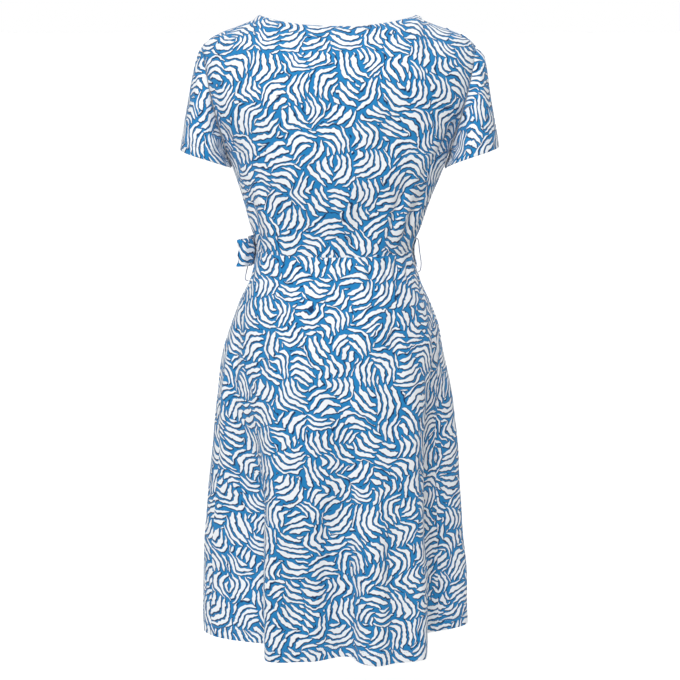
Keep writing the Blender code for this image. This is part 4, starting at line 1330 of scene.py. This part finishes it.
# %% Loops
LOOP_COLUMNS = ("step", "angle", "out", "tall", "up")
LOOP_LEFT = (
    (0, 118.05, 0.0040, 0.029, 0.0000),
    (1, 110.0, 0.0022, 0.041, 0.0000),
    (2, 100.0, 0.0022, 0.042, 0.0000),
    (3, 92.0, 0.0022, 0.041, 0.0005),
    (4, 87.0, 0.0024, 0.041, 0.0015),
    (5, 83.0, 0.0090, 0.042, 0.0030),
    (6, 80.0, 0.0200, 0.041, 0.0035),
    (7, 80.5, 0.0285, 0.041, 0.0037),
    (8, 83.0, 0.0240, 0.041, 0.0035),
    (9, 85.5, 0.0130, 0.042, 0.0030),
    (10, 88.0, 0.0068, 0.041, 0.0015),
    (11, 94.0, 0.0090, 0.041, 0.0005),
    (12, 102.0, 0.0150, 0.043, 0.0000),
    (13, 110.0, 0.0150, 0.040, 0.0000),
    (14, 118.0, 0.0105, 0.029, 0.0000),
)
LOOP_RIGHT = (
    (0, 134.05, 0.0060, 0.029, 0.0000),
    (1, 142.0, 0.0055, 0.041, 0.0000),
    (2, 150.0, 0.0058, 0.044, 0.0000),
    (3, 158.0, 0.0060, 0.045, 0.0000),
    (4, 163.0, 0.0080, 0.045, 0.0000),
    (5, 164.5, 0.0120, 0.045, 0.0000),
    (6, 162.0, 0.0170, 0.045, 0.0000),
    (7, 156.0, 0.0205, 0.045, 0.0000),
    (8, 149.0, 0.0205, 0.043, 0.0000),
    (9, 141.5, 0.0170, 0.040, 0.0000),
    (10, 135.2, 0.0110, 0.030, 0.0000),
)
# Squeezes along each loop: share, reach, folds, depth, shift
LEFT_SQUEEZES = (
    (0.00, 0.024, 3.0, 0.0009, 0.2),
    (0.29, 0.011, 2.6, 0.0007, 0.4),
    (0.62, 0.022, 2.2, 0.0022, 1.3),
    (1.00, 0.030, 3.4, 0.0013, 0.6),
)
RIGHT_SQUEEZES = (
    (0.00, 0.024, 3.0, 0.0009, 0.5),
    (1.00, 0.030, 3.2, 0.0013, 0.1),
)
LOOP_STEPS = 100


def loop_middle(rows, squeezes):
    """Middle strip of a loop of the bow. Both of its edges stand equally far out from the fronts."""
    shares = tie_shares(LOOP_STEPS)
    step = shares * rows[-1][0]
    angle, out, tall, up = (read(curve(rows, LOOP_COLUMNS, name), step)[:, None] for name in LOOP_COLUMNS[1:])
    height = BELT_Z + up + tall / 2.0 * across_tie[None, :]
    angle = np.broadcast_to(angle, height.shape)
    points = lifted(angle, height, front_lift(angle, height) + out)
    points[..., 2] = height
    return squeezed(points, shares, squeezes)


loop_left = tie("jersey_belt_loop_left", loop_middle(LOOP_LEFT, LEFT_SQUEEZES))
loop_right = tie("jersey_belt_loop_right", loop_middle(LOOP_RIGHT, RIGHT_SQUEEZES))
stands_for(loop_left, "belt_loop_left")
stands_for(loop_right, "belt_loop_right")

# %% [markdown]
# ### Tails
# Both tails drop from the knot over the left front and lie on the skirt, so they follow its folds.

# %% Tails
TAIL_COLUMNS = ("height", "angle", "half", "out")
TAIL_LONG = (
    (-0.3760, 129.5, 0.0075, 0.0095),
    (-0.3900, 132.0, 0.0130, 0.0066),
    (-0.4200, 132.5, 0.0200, 0.0034),
    (-0.5000, 132.0, 0.0225, 0.0026),
    (-0.7300, 131.0, 0.0225, 0.0026),
)
TAIL_SHORT = (
    (-0.3760, 122.2, 0.0075, 0.0095),
    (-0.3900, 117.5, 0.0130, 0.0066),
    (-0.4200, 111.0, 0.0200, 0.0034),
    (-0.5000, 109.0, 0.0225, 0.0026),
    (-0.6700, 108.5, 0.0225, 0.0026),
)
TAIL_STEPS = 150
TAIL_SQUEEZES = (
    (0.05, 0.045, 2.4, 0.0010, 0.3),
    (0.20, 0.090, 1.3, 0.0008, 1.1),
    (1.00, 0.120, 0.8, 0.0007, 0.0),
)


def tail_middle(rows):
    """Middle strip of a tail of the belt, from the knot down."""
    shares = tie_shares(TAIL_STEPS)
    height = mix(rows[0][0], rows[-1][0], shares)[:, None]
    middle, half, out = (read(curve(rows, TAIL_COLUMNS, name), height) for name in TAIL_COLUMNS[1:])
    angle = middle + np.degrees(half / section_radius(middle, height)) * across_tie[None, :]
    height, out = np.broadcast_arrays(height, out, angle)[:2]
    return squeezed(shaped(angle, height, front_lift(angle, height) + out), shares, TAIL_SQUEEZES)


tail_long = tie("jersey_belt_tail_long", tail_middle(TAIL_LONG))
tail_short = tie("jersey_belt_tail_short", tail_middle(TAIL_SHORT))
stands_for(tail_long, "belt_tail_long")
stands_for(tail_short, "belt_tail_short")

# %% [markdown]
# ## Thread loops at the side seams
# Each belt carrier is a chain of thread, worked from the bodice down to the skirt. Three strands turn
# round each other along its arc. A curve with a round bevel is the plainest way to draw a strand. The
# thread is dyed in stretches, so a navy length shows among grey ones.

# %% Thread
THREAD_RADIUS = 0.0008
STRAND_RADIUS = 0.00045
STRAND_PITCH = 0.0030
STRANDS = 3
NAVY_MIDDLE = -0.349
NAVY_HALF = 0.0065
DYE_FADE = 0.002
DYE_STRETCH = 0.012
THREAD_PALE = "A6AABA"
THREAD_GREY = "5F6E90"
THREAD_NAVY = "54649A"


def polyester_thread():
    """Polyester sewing thread: a fine, even yarn with a slight sheen along its twist."""
    material = bpy.data.materials.new("polyester_thread")
    material.use_nodes = True
    tree = material.node_tree
    shader = tree.nodes["Principled BSDF"]
    place = add(tree, "ShaderNodeTexCoord").outputs["Object"]
    height = add(tree, "ShaderNodeSeparateXYZ", {"Vector": place}).outputs["Z"]
    off_middle = add(tree, "ShaderNodeMath", {0: height, 1: NAVY_MIDDLE}, operation="SUBTRACT")
    away = add(tree, "ShaderNodeMath", {0: off_middle}, operation="ABSOLUTE")
    stretch = {"Value": away, "From Min": NAVY_HALF, "From Max": NAVY_HALF - DYE_FADE}
    navy = add(tree, "ShaderNodeMapRange", stretch)
    dye = add(tree, "ShaderNodeTexNoise", {"Vector": place, "Scale": 1.0 / DYE_STRETCH, "Detail": 1.0})
    greys = {"Factor": dye.outputs["Fac"], 6: linear(THREAD_PALE), 7: linear(THREAD_GREY)}
    grey = add(tree, "ShaderNodeMix", greys, data_type="RGBA")
    inks = {"Factor": navy.outputs["Result"], 6: grey.outputs[2], 7: linear(THREAD_NAVY)}
    colour = add(tree, "ShaderNodeMix", inks, data_type="RGBA")
    tree.links.new(colour.outputs[2], shader.inputs["Base Color"])
    shader.inputs["Roughness"].default_value = 0.55
    shader.inputs["Sheen Weight"].default_value = 0.10
    return material


thread = polyester_thread()

# %% Carriers
CARRIERS = {
    "left": {"side": 1, "top": -0.3325, "bottom": -0.3985, "bulge": 0.0075, "squareness": 4.0},
    "right": {"side": -1, "top": -0.3330, "bottom": -0.3850, "bulge": 0.0090, "squareness": 2.0},
}
CARRIER_ANGLE = 88.0
SEAM_GAP = 0.0003
CARRIER_STEPS = 260


def carrier_path(side, top, bottom, bulge, squareness):
    """Middle line of a thread loop, from its upper end to its lower one."""
    share = (1.0 - np.cos(np.linspace(0.0, math.pi, CARRIER_STEPS))) / 2.0
    arc = (1.0 - abs(2.0 * share - 1.0) ** squareness) ** (1.0 / squareness)
    line = surface(side * CARRIER_ANGLE, mix(top, bottom, share))
    line[:, 0] += side * (THREAD_RADIUS + 2.0 * SEAM_GAP + bulge * arc)
    return line


def carrier(name, path):
    """Strands that turn round each other along a path."""
    along = unit(np.gradient(path, axis=0))
    aside = unit(np.cross(along, (0.0, 1.0, 0.0)))
    up = np.cross(along, aside)
    length = steps_along(path, 0)
    chain = bpy.data.curves.new(name, "CURVE")
    chain.dimensions = "3D"
    chain.bevel_depth = STRAND_RADIUS
    chain.bevel_resolution = 1
    chain.use_fill_caps = True
    for strand in range(STRANDS):
        turn = 2.0 * math.pi * (length / STRAND_PITCH + strand / STRANDS)
        round_it = aside * np.cos(turn)[:, None] + up * np.sin(turn)[:, None]
        places = path + (THREAD_RADIUS - STRAND_RADIUS) * round_it
        spline = chain.splines.new("POLY")
        spline.points.add(len(places) - 1)
        for point, place in zip(spline.points, places):
            point.co = (*place, 1.0)
    chain.materials.append(thread)
    piece = bpy.data.objects.new(name, chain)
    bpy.context.scene.collection.objects.link(piece)
    return piece


for name, sizes_of in CARRIERS.items():
    piece = carrier("thread_carrier_" + name, carrier_path(**sizes_of))
    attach(piece, "root")
    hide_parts("carrier_" + name)
    print(piece.name, "has", len(piece.data.splines), "strands")

# %% [markdown]
# ## Stitches
# A twin needle sews the hems with two rows of stitches, and one row holds each turned neck and wrap
# edge. A bump could hint at them, but real stitches catch the light, so each is a small flattened ball
# that lies on the cloth, all joined into one mesh for each part of the dress.

# %% Stitches
STITCH_PITCH = 0.0032
STITCH_HALF = (0.00115, 0.00026, 0.00020)
TWIN_NEEDLE = 0.0030
STITCH_INSET = 0.0015


def stitch_line(points, edge, folded, distance, ring=False):
    """Places and ways out along a row of stitches, at a distance from a folded edge."""
    cloth_points = FROM_EDGE[edge](points)[:, folded:]
    out = FROM_EDGE[edge](grid_normals(points, ring))[:, folded:]
    length = steps_along(cloth_points, 1)
    line = [[np.interp(distance, length[k], cloth_points[k, :, axis]) for axis in range(3)]
            for k in range(len(cloth_points))]
    return np.array(line), out[:, np.searchsorted(np.median(length, axis=0), distance)]


def sewn(name, lines):
    """Join the stitches of several lines into one mesh. They stand for no solid."""
    seam = bmesh.new()
    for places, ways_out in lines:
        length = steps_along(places, 0)
        at = np.arange(STITCH_PITCH, length[-1] - STITCH_PITCH / 2.0, STITCH_PITCH)
        spots = np.stack([np.interp(at, length, places[:, axis]) for axis in range(3)], axis=-1)
        outs = unit(np.stack([np.interp(at, length, ways_out[:, axis]) for axis in range(3)], axis=-1))
        alongs = unit(np.gradient(spots, axis=0))
        for spot, out, along in zip(spots, outs, alongs):
            axes = np.array([along, np.cross(out, along), out]) * np.array(STITCH_HALF)[:, None]
            matrix = Matrix([[*axes[:, row], spot[row] + out[row] * STITCH_HALF[2] / 2.0] for row in range(3)]
                            + [[0.0, 0.0, 0.0, 1.0]])
            bmesh.ops.create_icosphere(seam, subdivisions=1, radius=1.0, matrix=matrix)
    piece = finished(name, seam, (thread,), sharp=180.0)
    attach(piece, "root")
    print(name, "has", len(piece.data.polygons), "faces")


skirt_lines, neck_lines, sleeve_lines = [], [], []
for points, folded, first, last in skirt_grids:
    for distance in (HEM_TURNING - STITCH_INSET, HEM_TURNING - STITCH_INSET - TWIN_NEEDLE):
        places, outs = stitch_line(points, "bottom", folded, distance)
        skirt_lines.append((places[first:last], outs[first:last]))
for points, folded in sleeve_grids:
    for distance in (SLEEVE_HEM - STITCH_INSET, SLEEVE_HEM - STITCH_INSET - TWIN_NEEDLE):
        sleeve_lines.append(stitch_line(points, "bottom", folded, distance, ring=True))
for points, edge, folded, first in edge_grids:
    places, outs = stitch_line(points, edge, folded, NECK_TURNING - STITCH_INSET)
    neck_lines.append((places[first:], outs[first:]))
sewn("hem_stitches_skirt", skirt_lines)
sewn("hem_stitches_sleeves", sleeve_lines)
sewn("edge_stitches", neck_lines)
